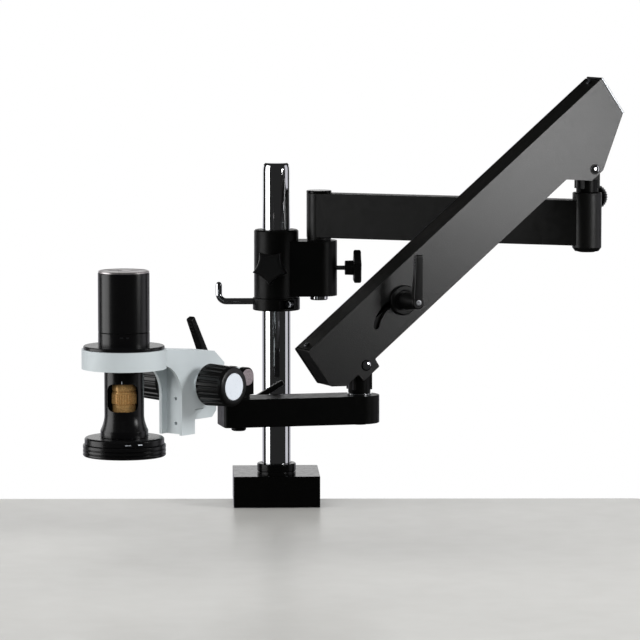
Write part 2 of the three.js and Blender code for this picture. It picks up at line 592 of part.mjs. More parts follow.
function buildHousing(boom) {
  const B = BOOM;
  const housing = group(boom, 0, 0, B.upperPivot);
  housing.rotation.y = -B.tilt * DEG;
  const outer = B.halfWidth;
  const inner = outer - B.plate;
  const pinHole = (u, v) => rod([u, -40, v], [u, 40, v], BRACKET.holeRadius, 16);
  const holes = [pinHole(0, 0), pinHole(lowerU, lowerV)];
  const front = slabXZ(sidePlateShape(), -outer, -inner);
  piece(housing, 'arm_plate_front', 'texturedBlack', cut(front, ...holes, arcSlot()));

  // the back plate carries the two cross bars under the cover and the spring's anchor pin
  const barHalf = 5;
  const barY = inner - GAP;
  const coverLow = B.top - B.cover;
  const screwU = [60, -376];
  const barTop = coverLow - GAP;
  const crossBar = (u) => box(u - barHalf, u + barHalf, -barY, inner + 1, barTop - 10, barTop);
  const [anchorRun, anchorRise] = fromLink(SPRING.anchor, 0);
  const [anchorU, anchorV] = inHousing(anchorRun, anchorRise);
  const pinTip = SPRING.y + SPRING.mean + SPRING.wire + GAP;
  const anchor = rod([anchorU, pinTip, anchorV], [anchorU, inner + 1, anchorV], 3, 14);
  const threads = screwU.map((u) => cylinder(2.3, coverLow - 9, coverLow + 3, 14).translate(u, 0, 0));
  piece(housing, 'arm_plate_back', 'texturedBlack', cut(
    join(slabXZ(sidePlateShape(), inner, outer), ...screwU.map(crossBar), anchor),
    ...holes,
    ...threads,
  ));

  const coverHalf = inner - B.seam;
  const cover = box(B.lowEnd + 3, 64.5, -coverHalf, coverHalf, coverLow, B.top);
  piece(housing, 'arm_top_cover', 'powderBlack', cut(cover, ...screwU.map(
    (u) => cylinder(2.3, coverLow - 1, B.top + 1, 14).translate(u, 0, 0),
  )));
  piece(housing, 'arm_bottom_cover', 'powderBlack',
    box(-318, -42, -coverHalf, coverHalf, B.bottom + 0.4, B.bottom + 0.4 + B.cover));
  piece(housing, 'lower_end_cap', 'powderBlack', slabXZ(stripShape([
    [B.lowEnd + 0.4, B.top - 0.3], [B.lowHeel + 0.4, B.heel], [B.lowToe + 0.4, B.bottom + 0.3],
  ], 1.8), -inner + GAP, inner - GAP));
  piece(housing, 'upper_end_cap', 'zinc', slabXZ(stripShape([
    [66.3, 24.6], [69.6, B.top],
  ], 2), -outer, outer));
  for (const [i, name] of ['cover_screw_upper', 'cover_screw_lower'].entries()) {
    piece(housing, name, 'zinc', cut(
      join(
        cylinder(3.2, B.top + GAP, B.top + 1.8, 16),
        cylinder(2, coverLow - 7, B.top + 1, 14),
      ),
      cylinder(1.4, B.top + 1, B.top + 4, 6),
    ).translate(screwU[i], 0, 0));
  }
  piece(housing, 'upper_pivot_bolt', 'chrome', pivotBolt(0, 0));
  piece(housing, 'lower_pivot_bolt', 'chrome', pivotBolt(lowerU, lowerV));
}

// wire of the lift spring: a straight tail, the coil, and a second tail
class SpringWire extends THREE.Curve {
  getPoint(t, target = new THREE.Vector3()) {
    const tail = 0.04;
    const coil = Math.min(Math.max((t - tail) / (1 - 2 * tail), 0), 1);
    const angle = 2 * Math.PI * SPRING.turns * coil;
    let x = SPRING.from + (SPRING.to - SPRING.from) * coil;
    if (t < tail) x = SPRING.hook + ((SPRING.from - SPRING.hook) * t) / tail;
    if (t > 1 - tail) x = SPRING.to + ((SPRING.anchor + SPRING.end - SPRING.to) * (t - 1 + tail)) / tail;
    return target.set(x, SPRING.y + SPRING.mean * Math.sin(angle), SPRING.mean * Math.cos(angle));
  }
}

function buildLink(boom) {
  const link = group(boom, 0, 0, BOOM.upperPivot + BOOM.linkOffset);
  link.rotation.y = -pivotSlope;
  const length = Math.hypot(BOOM.run, pivotDrop);
  const L = LINK;
  const back = L.front + L.thickness;
  const bar = slabXZ(stadium(-length, 0, L.halfHeight), L.front, back);
  const eye = (x, z) => rod([x, L.front, z], [x, back, z], L.endRadius, 20);
  const pin = rod([-length, back - 1, 0], [-length, 13, 0], BRACKET.pinRadius, 16);
  piece(link, 'tie_rod', 'zinc', cut(
    join(bar, eye(0, 0), eye(-length, 0), eye(L.studX, L.studZ), pin),
    rod([0, -30, 0], [0, 0, 0], BRACKET.holeRadius, 16),
    rod([L.studX, -30, L.studZ], [L.studX, 0, L.studZ], STUD.radius + GAP, 16),
  ));
  const plateFace = -BOOM.halfWidth - GAP;
  piece(link, 'slot_stud', 'blackPlastic', join(
    rod([L.studX, back, L.studZ], [L.studX, plateFace - STUD.washer - 12, L.studZ], STUD.radius, 16),
    rod([L.studX, plateFace, L.studZ], [L.studX, plateFace - STUD.washer, L.studZ], STUD.washerRadius, 18),
  ));
  const wire = new THREE.Shape().absarc(0, 0, SPRING.wire, 0, 2 * Math.PI);
  piece(link, 'lift_spring', 'spring', new THREE.ExtrudeGeometry(wire, {
    steps: 96, bevelEnabled: false, extrudePath: new SpringWire(), curveSegments: SPRING.sides,
  }));
  // the lever stands upright on the stud, whatever the link's slope
  const lever = new THREE.Group();
  lever.position.set(L.studX, plateFace - STUD.washer - GAP, L.studZ);
  lever.rotation.order = 'YXZ';
  lever.rotation.set(0, pivotSlope, -Math.PI / 2);
  link.add(lever);
  piece(lever, 'slot_lever', 'blackPlastic', clampLever(SLOT_LEVER));
}

function buildBoom() {
  const boom = group(assembly, elbow.x, elbow.y, 0, BOOM.yaw);
  const upper = bracket(SWING.rightHigh + GAP, SWING.rightLow + 3.5, BOOM.upperPivot);
  const pinZ = BOOM.upperPivot + BOOM.linkOffset;
  piece(boom, 'upper_bracket', 'castBlack', join(
    upper, rod([0, -15.2, pinZ], [0, 14.4, pinZ], BRACKET.pinRadius, 16),
    rod([0, -BRACKET.tongueHalf, pinZ], [0, BRACKET.tongueHalf, pinZ], BRACKET.holeRadius + 0.5, 16),
  ));
  buildHousing(boom);
  buildLink(boom);
  const lower = group(boom, -BOOM.run, 0, 0);
  const washerTop = TIP.high + 1.5;
  piece(lower, 'lower_bracket', 'castBlack', bracket(washerTop + GAP, TIP.low + 2, BOOM.lowerPivot));
  piece(lower, 'lower_washer', 'chrome',
    washerShape(BRACKET.studRadius + GAP, 13, TIP.high + GAP, washerTop, 18));
}

// ---------------------------------------------------------------- tip arm and mounting post

function buildTipArm() {
  const T = TIP;
  const arm = group(assembly, wrist.x, wrist.y, 0, T.yaw);
  const end = T.length + T.overhang;
  const outline = new THREE.Shape();
  outline.absarc(0, 0, T.halfWidth, Math.PI / 2, 1.5 * Math.PI);
  outline.absarc(end - T.corner, T.corner - T.halfWidth, T.corner, 1.5 * Math.PI, 2 * Math.PI);
  outline.absarc(end - T.corner, T.halfWidth - T.corner, T.corner, 0, Math.PI / 2);
  piece(arm, 'tip_arm', 'castBlack', cut(
    join(
      slabXY(outline, T.low, T.high, { bevel: 0.8, curveSegments: 6 }),
      turned([[0, T.low - 2], [9, T.low - 2], [13, T.low + 1], [0, T.low + 1]], 20),
    ),
    cylinder(BRACKET.studRadius + GAP, T.low + 1.5, T.high + 5, 18),
    cylinder(BRACKET.studRadius + GAP, T.low - 5, T.high + 5, 18).translate(T.length, 0, 0),
    rod([T.length, 0, TIP_LEVER.z], [T.length, -30, TIP_LEVER.z], STUD.radius + GAP, 16),
  ));
  // lever on the far side of the tip, leaning back towards the wrist
  const lever = new THREE.Group();
  lever.position.set(T.length, -T.halfWidth - GAP, TIP_LEVER.z);
  lever.rotation.order = 'YXZ';
  lever.rotation.set(0, -TIP_LEVER.lean * DEG, -Math.PI / 2);
  arm.add(lever);
  const body = clampLever({ ...TIP_LEVER, lean: 0, boreDepth: 6 });
  const stud = rod([-(T.halfWidth - BRACKET.studRadius - 2 * GAP), 0, 0], [10, 0, 0], STUD.radius, 16);
  piece(lever, 'tip_lever', 'blackPlastic', join(body, stud, rod([0.5, 0, 0], [10, 0, 0], 5, 16)));
}

function buildMountPost() {
  const post = group(assembly, tip.x, tip.y, 0, HEAD.yaw);
  const P = POST;
  const cheek = new THREE.Shape();
  cheek.moveTo(-P.headRadius, P.floor - 3);
  cheek.lineTo(P.headRadius, P.floor - 3);
  cheek.absarc(0, HEAD.tiltZ, P.headRadius, 0, Math.PI);
  const body = join(
    cylinder(BRACKET.studRadius, TIP.low + GAP, TIP.high + 2, 18),
    cylinder(P.radius, TIP.high + GAP, P.floor, 20),
    turned([
      [0, TIP.low - 5.3], [6.5, TIP.low - 5.3], [8, TIP.low - 4], [8, TIP.low + 0.5], [0, TIP.low + 0.5],
    ], 20),
    slabXZ(cheek, -P.cheekOut, -P.cheekIn, { curveSegments: 5 }),
    slabXZ(cheek, P.cheekIn, P.cheekOut, { curveSegments: 5 }),
  );
  const z = HEAD.tiltZ;
  const discBack = P.cheekOut + GAP;
  piece(post, 'mount_post', 'castBlack', cut(
    body, rod([0, -20, z], [0, 20, z], TILT_PIN.radius + GAP, 16),
  ));
  piece(post, 'tilt_pin', 'speckle', join(
    rod([0, -discBack, z], [0, -discBack - TILT_PIN.discHeight, z], TILT_PIN.discRadius, 18),
    rod([0, -P.cheekOut - 1, z], [0, TILT_PIN.leftReach, z], TILT_PIN.radius, 16),
  ));
  const lever = new THREE.Group();
  lever.position.set(0, P.cheekOut + GAP, z);
  lever.rotation.order = 'YXZ';
  lever.rotation.set(0, -(90 - TILT_LEVER.angle) * DEG, Math.PI / 2);
  post.add(lever);
  piece(lever, 'tilt_lever', 'blackPlastic', clampLever({
    ...TILT_LEVER, lean: 0, bore: TILT_PIN.radius, boreDepth: 15,
  }));
}

// ---------------------------------------------------------------- focusing rack

// outline of a gear's teeth, one tooth pointing along +X
function gearShape(teeth, module) {
  const pitch = (teeth * module) / 2;
  const points = [];
  for (let i = 0; i < teeth; i += 1) {
    const middle = (i / teeth) * 2 * Math.PI;
    for (const [radius, half] of [
      [pitch - 1.2 * module, -0.3], [pitch + 0.75 * module, -0.09], [pitch + 0.75 * module, 0.09],
      [pitch - 1.2 * module, 0.3],
    ]) {
      const angle = middle + half * (2 * Math.PI / teeth);
      points.push([radius * Math.cos(angle), radius * Math.sin(angle)]);
    }
  }
  return polygon(points);
}

// outline of the rack in (x, z): teeth face -X, with a gap level with the pinion
function rackShape() {
  const pitch = Math.PI * GEAR.module;
  const points = [[RACK.back, RACK.low]];
  const first = Math.ceil((RACK.low - KNOB.z) / pitch);
  const last = Math.floor((RACK.high - KNOB.z) / pitch) - 1;
  for (let i = first; i <= last; i += 1) {
    const middle = KNOB.z + (i + 0.5) * pitch;
    points.push([RACK.pitchLine + 1.2, middle - 0.95], [RACK.pitchLine - 0.8, middle - 0.3]);
    points.push([RACK.pitchLine - 0.8, middle + 0.3], [RACK.pitchLine + 1.2, middle + 0.95]);
  }
  points.push([RACK.back, RACK.high]);
  return polygon(points);
}

function buildSlide(rack) {
  const S = SLIDE;
  const halfTongue = S.tongueHeight / 2;
  const block = polygon([
    [S.footFront, S.low], [S.back - S.chamfer, S.low], [S.back, S.low + S.chamfer],
    [S.back, S.top], [S.barFront, S.top], [S.barFront, S.footTop], [S.footFront, S.footTop],
  ]);
  const tongue = new THREE.Shape();
  tongue.moveTo(S.back - 2, HEAD.tiltZ - halfTongue);
  tongue.absarc(HEAD.reach, HEAD.tiltZ, halfTongue, -Math.PI / 2, Math.PI / 2);
  tongue.lineTo(S.back - 2, HEAD.tiltZ + halfTongue);
  piece(rack, 'focus_slide', 'whiteEnamel', cut(
    join(
      slabXZ(block, -S.halfWidth, S.halfWidth),
      slabXZ(tongue, -S.tongueHalf, S.tongueHalf, { curveSegments: 5 }),
    ),
    rod([HEAD.reach, -20, HEAD.tiltZ], [HEAD.reach, 20, HEAD.tiltZ], TILT_PIN.radius + GAP, 16),
  ));
  piece(rack, 'focus_rack', 'zinc', slabXZ(rackShape(), -RACK.halfWidth, RACK.halfWidth));
}

function carriageShape() {
  const C = CARRIAGE;
  const shape = new THREE.Shape();
  shape.moveTo(C.neck, RING.low + 0.1);
  shape.lineTo(C.archX, C.archZ + C.archRise);
  shape.absellipse(C.archX, C.archZ, C.archRun, C.archRise, Math.PI / 2, 0, true);
  shape.lineTo(C.front, C.low);
  shape.lineTo(C.webBack, C.low);
  shape.lineTo(C.webBack, C.skirtLow);
  shape.lineTo(C.skirtBack, C.skirtLow);
  shape.lineTo(C.skirtBack, C.hoodLow);
  shape.lineTo(C.hoodBack, C.hoodLow);
  shape.lineTo(C.hoodBack, C.rearZ);
  shape.lineTo(C.breakX, C.topAtBreak);
  shape.lineTo(C.neck, C.topAtNeck);
  return shape;
}

function buildCarriage(rack) {
  const C = CARRIAGE;
  const inner = C.halfWidth - C.cheek;
  const screw = { x: 94, y: -8 };
  const ring = turnedRing([
    [RING.inner, RING.low], [RING.outer - 0.8, RING.low], [RING.outer, RING.low + 0.8],
    [RING.outer, RING.high - 0.8], [RING.outer - 0.8, RING.high], [RING.inner, RING.high],
  ], 32);
  const body = join(
    ring,
    slabXZ(carriageShape(), -C.halfWidth, C.halfWidth, { curveSegments: 6 }),
    rod([KNOB.x, -C.bossOut, KNOB.z], [KNOB.x, C.bossOut, KNOB.z], C.bossRadius, 20),
  );
  const floorHole = (z) => rod([C.channelFloor - 2, 0, z], [C.channelFloor + 5, 0, z], 1.5, 12);
  piece(rack, 'ring_carriage', 'whiteEnamel', cut(
    body,
    box(30, C.channelFloor, -inner, inner, 100, RING.low - 0.3),
    box(C.webBack, 160, -inner, inner, 140, C.roof),
    rod([KNOB.x, -40, KNOB.z], [KNOB.x, 40, KNOB.z], GEAR.shaftRadius + GAP, 16),
    floorHole(161),
    floorHole(135),
    cylinder(2.9, 206, 230, 16).translate(screw.x, screw.y, 0),
  ));
  piece(rack, 'carriage_screw', 'zinc', cut(
    cylinder(2.6, 206.3, 211.6, 16), cylinder(1.4, 209.4, 215, 6),
  ).translate(screw.x, screw.y, 0));

  const gear = slabXZ(gearShape(GEAR.teeth, GEAR.module), -GEAR.halfFace, GEAR.halfFace);
  piece(rack, 'pinion_shaft', 'zinc', join(
    gear, rod([0, -50, 0], [0, 50, 0], GEAR.shaftRadius, 16),
  ).translate(KNOB.x, 0, KNOB.z));
  const rim = [];
  for (let i = 0; i < KNOB.ribs; i += 1) {
    for (const [share, depth] of [[0, 0], [0.5, 0], [0.62, 1.1], [0.88, 1.1]]) {
      const angle = ((i + share) / KNOB.ribs) * 2 * Math.PI;
      rim.push([(KNOB.radius - depth) * Math.cos(angle), (KNOB.radius - depth) * Math.sin(angle)]);
    }
  }
  for (const [name, side] of [['right', -1], ['left', 1]]) {
    const span = [side * KNOB.inner, side * KNOB.outer].sort((a, b) => a - b);
    const shaft = [side * (KNOB.inner - 1), side * (50 + GAP)];
    const seat = [side * (KNOB.outer - 1.6), side * (KNOB.outer + 1)];
    const knob = cut(
      slabXZ(polygon(rim), ...span, { bevel: 1.4 }),
      rod([0, shaft[0], 0], [0, shaft[1], 0], GEAR.shaftRadius + GAP, 16),
      rod([0, seat[0], 0], [0, seat[1], 0], KNOB.capRadius + GAP, 20),
    );
    piece(rack, `focus_knob_${name}`, 'blackPlastic', knob.translate(KNOB.x, 0, KNOB.z));
    const capSpan = [side * (KNOB.outer - 1.3), side * (KNOB.outer + 0.3)];
    const cap = rod([0, capSpan[0], 0], [0, capSpan[1], 0], KNOB.capRadius, 20);
    piece(rack, `knob_cap_${name}`, 'capWhite', cap.translate(KNOB.x, 0, KNOB.z));
  }
}

// ---------------------------------------------------------------- microscope

function barrelProfile() {
  const B = BARREL;
  const flare = [];
  const steps = 4;
  for (let i = 0; i <= steps; i += 1) {
    const share = i / steps;
    const z = B.flareLow + (B.flareHigh - B.flareLow) * share;
    flare.push([B.radius + (B.flareRadius - B.radius) * (1 - share) ** 1.9, z]);
  }
  return [
    [OPTIC.radius + 2, B.low], [B.flareRadius, B.low], ...flare,
    [B.radius, FLANGE_PLATE.high], [B.bore, FLANGE_PLATE.high], [B.bore, B.low + 4],
    [OPTIC.radius + 2, B.low + 4],
  ];
}

function buildMicroscope() {
  const scope = group(assembly, head.x, head.y, 0);
  const F = FLANGE_PLATE;
  const C = CAMERA;
  const bore = BARREL.radius + GAP;
  piece(scope, 'scope_flange', 'anodised', turnedRing([
    [bore, F.lipLow], [F.lipRadius, F.lipLow], [F.lipRadius, F.low], [F.radius, F.low],
    [F.radius, F.high - 0.4], [F.radius - 0.4, F.high], [C.radius, F.high],
    [C.radius, C.baseHigh], [bore, C.baseHigh],
  ], 28));
  piece(scope, 'camera_shell', 'anodised', turnedRing([
    [C.radius - C.wall, C.shellLow], [C.radius, C.shellLow], [C.radius, C.shellHigh],
    [C.radius - C.wall, C.shellHigh],
  ], 24));
  const lidLow = C.shellHigh + GAP;
  const lipRadius = C.radius - C.wall - GAP;
  const port = (x, y, width, depth) => (
    box(x - width / 2, x + width / 2, y - depth / 2, y + depth / 2, 280, 310)
  );
  piece(scope, 'camera_top_cap', 'silverCap', cut(
    turned([
      [0, lidLow - 3], [lipRadius, lidLow - 3], [lipRadius, lidLow], [C.radius - 0.3, lidLow],
      [C.radius - 0.3, C.top - 0.6], [C.radius - 0.9, C.top], [0, C.top],
    ], 24),
    port(-9, 4, 15, 6), port(11, 4, 9.5, 4), port(0, -9, 12, 3),
  ));
  const boardRadius = lipRadius - 1;
  piece(scope, 'camera_board', 'circuit', join(
    cylinder(boardRadius, 288, 289.6, 18),
    box(-15.6, -2.4, 2, 6, 289, 297.4), box(7, 15, 2.8, 5.2, 289, 297.4), box(-5, 5, -10, -8, 289, 297.4),
    cylinder(3, 250, 289, 14), cylinder(boardRadius, 249, 250.6, 18), box(-7, 7, -7, 7, 247, 250),
  ));

  const W = WINDOW;
  const opening = slabYZ(
    roundedRectangle(-W.halfWidth, W.halfWidth, W.low, W.high, W.corner), 6, 40, { curveSegments: 2 },
  ).rotateZ(W.yaw * DEG);
  piece(scope, 'lens_barrel', 'anodised', cut(turnedRing(barrelProfile(), 28), opening));
  piece(scope, 'objective_tube', 'blackPlastic', turnedRing([
    [OPTIC.bore, OPTIC.low], [OPTIC.radius, OPTIC.low], [OPTIC.radius, OPTIC.high],
    [OPTIC.bore, OPTIC.high],
  ], 20));
  piece(scope, 'front_lens', 'glass', turned([
    [0, OPTIC.low + 1], [4, OPTIC.low + 1.3], [OPTIC.bore - GAP, OPTIC.low + 2.4],
    [OPTIC.bore - GAP, OPTIC.low + 5.4], [0, OPTIC.low + 5.4],
  ], 20));
  const Z = ZOOM;
  const groove = [[Z.radius - 1, -11], [Z.radius - 1, -10], [Z.radius, -10], [Z.radius, 5.5],
    [Z.radius - 1, 5.5], [Z.radius - 1, 7]].map(([radius, z]) => [radius, z + 170]);
  piece(scope, 'zoom_ring', 'brass', turnedRing([
    [Z.bore, Z.low], [Z.radius - 2.4, Z.low], [Z.radius - 0.9, Z.low + 3], ...groove,
    [Z.radius - 0.4, 177], [Z.radius - 0.5, Z.high - 3], [Z.radius - 2.4, Z.high], [Z.bore, Z.high],
  ], 22));

  const L = LIGHT;
  piece(scope, 'light_housing', 'anodised', turnedRing([
    [L.hole, L.housingLow], [L.housingRadius, L.housingLow], [L.housingRadius, L.housingHigh - 1],
    [L.housingRadius - 1, L.housingHigh], [L.hole, L.housingHigh],
  ], 28));
  const [r, z] = [L.ringRadius, L.ringLow];
  piece(scope, 'light_ring', 'anodised', turnedRing([
    [r - 5, z], [r - 0.8, z], [r, z + 1], [r, z + 3], [r - 1.4, z + 3.8], [r, z + 4.6], [r, z + 7],
    [r - 1.4, z + 7.8], [r, z + 8.6], [r, L.ringHigh], [r - 5, L.ringHigh],
  ], 28));
  const leds = [];
  const count = 8;
  for (let i = 0; i < count; i += 1) {
    const led = box(-1.8, 1.8, -1.8, 1.8, 117.2, 119).translate(26, 0, 0);
    leds.push(led.rotateZ((i / count) * 2 * Math.PI));
  }
  piece(scope, 'led_board', 'circuit', join(washerShape(14, 37, 118.8, 121.2, 22), ...leds));
  piece(scope, 'light_diffuser', 'diffuser', washerShape(14, r - 5 - GAP, 112, 113.6, 22));
}

// ---------------------------------------------------------------- assembly

buildClamp();
buildPole();
buildCollar();
buildSleeve();
buildSwingArm();
buildBoom();
buildTipArm();
buildMountPost();
const rack = group(assembly, head.x, head.y, 0, HEAD.yaw);
buildSlide(rack);
buildCarriage(rack);
buildMicroscope();

export default assembly;
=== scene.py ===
"""Looks of the inspection microscope on its articulating arm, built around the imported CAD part.

Local sizes are in millimetres, in frames whose origins and axes come from the part's joints.
"""

import json
from math import atan2, ceil, cos, degrees, floor, hypot, pi, radians, sin, sqrt

import bmesh
import bpy
from mathutils import Matrix, Vector


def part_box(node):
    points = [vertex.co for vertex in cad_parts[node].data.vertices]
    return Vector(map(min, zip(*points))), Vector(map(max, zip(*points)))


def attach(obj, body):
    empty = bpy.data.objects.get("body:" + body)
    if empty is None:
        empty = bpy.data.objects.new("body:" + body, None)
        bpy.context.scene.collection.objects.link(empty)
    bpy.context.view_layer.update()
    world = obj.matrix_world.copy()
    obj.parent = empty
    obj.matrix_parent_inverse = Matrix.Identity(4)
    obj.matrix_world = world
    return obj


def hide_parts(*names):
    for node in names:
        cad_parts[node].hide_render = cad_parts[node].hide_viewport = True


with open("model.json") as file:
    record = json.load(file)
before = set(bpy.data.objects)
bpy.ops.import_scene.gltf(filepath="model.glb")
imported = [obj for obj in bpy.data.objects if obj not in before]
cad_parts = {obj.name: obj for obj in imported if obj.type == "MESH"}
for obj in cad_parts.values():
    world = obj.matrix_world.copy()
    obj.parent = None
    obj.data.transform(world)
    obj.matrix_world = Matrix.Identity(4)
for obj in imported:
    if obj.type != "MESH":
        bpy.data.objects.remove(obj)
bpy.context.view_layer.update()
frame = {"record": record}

MM = 0.001
TAU = 2 * pi
ORIGIN, UP = Vector((0, 0, 0)), Vector((0, 0, 1))
RIGHT, FRONT, REAR = (1, 0, 0), (0, -1, 0), (0, 1, 0)
JOINTS = {joint["name"]: joint for joint in frame["record"]["behaviour"]["joints"]}


# ---------------------------------------------------------------- places

def low(node):
    """Height of a CAD node's underside, in millimetres."""
    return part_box(node)[0].z / MM


def high(node):
    """Height of a CAD node's top, in millimetres."""
    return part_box(node)[1].z / MM


def heights(node):
    """Heights of a CAD node's underside and top, in millimetres."""
    return low(node), high(node)


def pivot(joint):
    """A hinge's point, in metres."""
    return Vector(JOINTS[joint]["pos_m"])


def axle(joint):
    """A hinge's axis."""
    return Vector(JOINTS[joint]["axis"])


def level(vector):
    """Unit vector along the level part of a vector."""
    return Vector((vector.x, vector.y, 0)).normalized()


def axes(origin, x, z):
    """Frame in millimetres from an origin in metres and two axes."""
    y = z.cross(x)
    turn = Matrix((x, y, z)).transposed().to_4x4()
    return Matrix.Translation(origin) @ turn @ Matrix.Diagonal((MM, MM, MM, 1))


def upright(origin, towards=Vector(RIGHT)):
    """Frame in millimetres with its origin on the ground below a point, X level, Z up."""
    return axes(Vector((origin.x, origin.y, 0)), level(towards), UP)


def offset(x, y=0, z=0):
    """A shift along a frame's own axes."""
    return Matrix.Translation((x, y, z))


shoulder, elbow = pivot("shoulder_swing"), pivot("elbow_swing")
upper_pivot, link_pivot = pivot("boom_lift"), pivot("link_follow")
lower_pivot, wrist = pivot("wrist_level"), pivot("wrist_swing")
tip, tilt = pivot("post_swivel"), pivot("head_tilt")
scope, pinion = pivot("microscope_turn"), pivot("focus_knob_spin")

WORLD = upright(ORIGIN)
ARM = upright(shoulder, elbow - shoulder)
BOOM = upright(elbow, elbow - wrist)
WRIST = upright(wrist, elbow - wrist)
TIP_ARM = upright(wrist, tip - wrist)
HEAD = upright(tip, tip - scope)
RACK = upright(scope, tip - scope)
SCOPE = upright(scope)

along_boom = Vector((elbow.x - wrist.x, elbow.y - wrist.y, 0))
BOOM_RUN = along_boom.length / MM
along_boom.normalize()
BOOM_DROP = (upper_pivot.z - lower_pivot.z) / MM
LINK_SLOPE = atan2(BOOM_DROP, BOOM_RUN)
LINK_LENGTH = hypot(BOOM_DROP, BOOM_RUN)
LINK_OFFSET = (link_pivot.z - upper_pivot.z) / MM
BOOM_TILT = radians(38.8)


def sloped(origin, slope):
    """Frame with X rising along the boom at a slope and Y level, away from the front plate."""
    x = along_boom * cos(slope) + Vector((0, 0, sin(slope)))
    z = Vector((0, 0, cos(slope))) - along_boom * sin(slope)
    return axes(origin, x, z)


HOUSING = sloped(upper_pivot, BOOM_TILT)
LINK = sloped(link_pivot, LINK_SLOPE)
ARM_LENGTH = (elbow - shoulder).xy.length / MM
TIP_LENGTH = (tip - wrist).xy.length / MM
HEAD_REACH = (tip - scope).xy.length / MM
TILT_Z = tilt.z / MM

POLE_BORE, PIN, PIN_HOLE = 16.2, 4, 4.3


# ---------------------------------------------------------------- outlines

def rounded(points, radius, closed=True, arc=3):
    """Outline with its corners rounded; the ends of an open outline stay as they are."""
    result = []
    count = len(points)
    for i, point in enumerate(points):
        if not closed and i in (0, count - 1):
            result.append(tuple(point))
            continue
        here = Vector(point)
        before = Vector(points[i - 1]) - here
        after = Vector(points[(i + 1) % count]) - here
        reach = min(radius, 0.45 * before.length, 0.45 * after.length)
        if reach < 1e-4 or before.angle(after) > pi - 0.3:
            result.append(tuple(here))
            continue
        start, end = here + before.normalized() * reach, here + after.normalized() * reach
        for k in range(arc + 1):
            t = k / arc
            spot = start * (1 - t) ** 2 + here * 2 * t * (1 - t) + end * t ** 2
            result.append(tuple(spot))
    return result


def polar(radius, angle, *z):
    """Point at a radius and an angle about Z."""
    return (radius * cos(angle), radius * sin(angle), *z)


def arc_points(x, y, radius, start, end, steps):
    """Points of an arc, angles in degrees."""
    angles = [radians(start + (end - start) * i / steps) for i in range(steps + 1)]
    return [(x + radius * cos(a), y + radius * sin(a)) for a in angles]


def steps_of(degree_step, first, end):
    """Angles in radians of the multiples of a step in degrees, from the first up to but not the end."""
    return [radians(degree_step * k) for k in range(first, end)]


def rectangle(x0, x1, y0, y1):
    """Outline of a rectangle."""
    return [(x0, y0), (x1, y0), (x1, y1), (x0, y1)]


def hexagon(radius):
    """Outline of a hexagon."""
    return [polar(radius, TAU * i / 6) for i in range(6)]


# ---------------------------------------------------------------- mesh building

def baked(bm, name="mesh"):
    """A new mesh from a bmesh, which is freed."""
    mesh = bpy.data.meshes.new(name)
    bm.to_mesh(mesh)
    bm.free()
    return mesh


def mesh_of(build):
    """A mesh from a function that fills a bmesh, with its faces turned outwards."""
    bm = bmesh.new()
    build(bm)
    bmesh.ops.remove_doubles(bm, verts=bm.verts, dist=1e-4)
    bmesh.ops.dissolve_degenerate(bm, dist=1e-5, edges=bm.edges)
    bmesh.ops.recalc_face_normals(bm, faces=bm.faces)
    if bm.calc_volume(signed=True) < 0:
        bmesh.ops.reverse_faces(bm, faces=bm.faces)
    return baked(bm)


def skin(bm, rings, close_ring=True, caps=True, close_run=False):
    """Quads between successive rings of points, with flat end caps."""
    rows = [[bm.verts.new(p) for p in ring] for ring in rings]
    pairs = list(zip(rows, rows[1:]))
    if close_run:
        pairs.append((rows[-1], rows[0]))
    for a, b in pairs:
        count = len(a)
        for i in range(count if close_ring else count - 1):
            j = (i + 1) % count
            bm.faces.new((a[i], a[j], b[j], b[i]))
    if caps:
        bm.faces.new(rows[0])
        bm.faces.new(rows[-1])


def lathe(profile, steps=96, edge=0.3, closed=True):
    """Solid of revolution about Z from (radius, z) points. Open profiles run from axis to axis."""
    outline = rounded(profile, edge, closed=closed)
    rings = [[polar(r, TAU * i / steps, z) for r, z in outline] for i in range(steps)]
    return mesh_of(lambda bm: skin(bm, rings, close_ring=closed, caps=False, close_run=True))


def turned(profile, steps=96, edge=0.3):
    """Solid of revolution about Z whose flat ends reach in to the axis."""
    return lathe([(0, profile[0][1]), *profile, (0, profile[-1][1])], steps, edge, closed=False)


def disc(radius, bottom, top, edge=0.3, steps=64):
    """Round solid about Z."""
    return turned([(radius, bottom), (radius, top)], steps, edge)


def ring(inner, outer, bottom, top, edge=0.3, steps=96):
    """Round solid about Z with a round hole."""
    return lathe(rectangle(inner, outer, bottom, top), steps, edge)


def prism(outline, bottom, top, edge=0.0):
    """Outline in XY raised along Z, with its rims rounded."""
    def build(bm):
        base = [bm.verts.new((x, y, bottom)) for x, y in outline]
        lid = [bm.verts.new((x, y, top)) for x, y in outline]
        bm.faces.new(base[::-1])
        bm.faces.new(lid)
        count = len(base)
        for i in range(count):
            j = (i + 1) % count
            bm.faces.new((base[i], base[j], lid[j], lid[i]))
    mesh = mesh_of(build)
    return softened(mesh, edge) if edge else mesh


def moved(mesh, matrix):
    """The same mesh, transformed in place."""
    mesh.transform(matrix)
    if matrix.determinant() < 0:
        mesh.flip_normals()
    return mesh


SIDEWAYS = Matrix.Rotation(pi / 2, 4, "X")
ENDWAYS = Matrix(((0, 0, 1, 0), (1, 0, 0, 0), (0, 1, 0, 0), (0, 0, 0, 1)))


def plate(outline, front, back, edge=0.0):
    """Outline given as (x, z), spanning two Y values."""
    return moved(prism(outline, -back, -front, edge), SIDEWAYS)


def bar(outline, left, right, edge=0.0):
    """Outline given as (y, z), spanning two X values."""
    return moved(prism(outline, left, right, edge), ENDWAYS)


def aimed(mesh, direction, start=(0, 0, 0)):
    """A mesh made along Z, moved so that Z runs from a point in a direction."""
    turn = UP.rotation_difference(Vector(direction).normalized()).to_matrix().to_4x4()
    return moved(mesh, Matrix.Translation(start) @ turn)


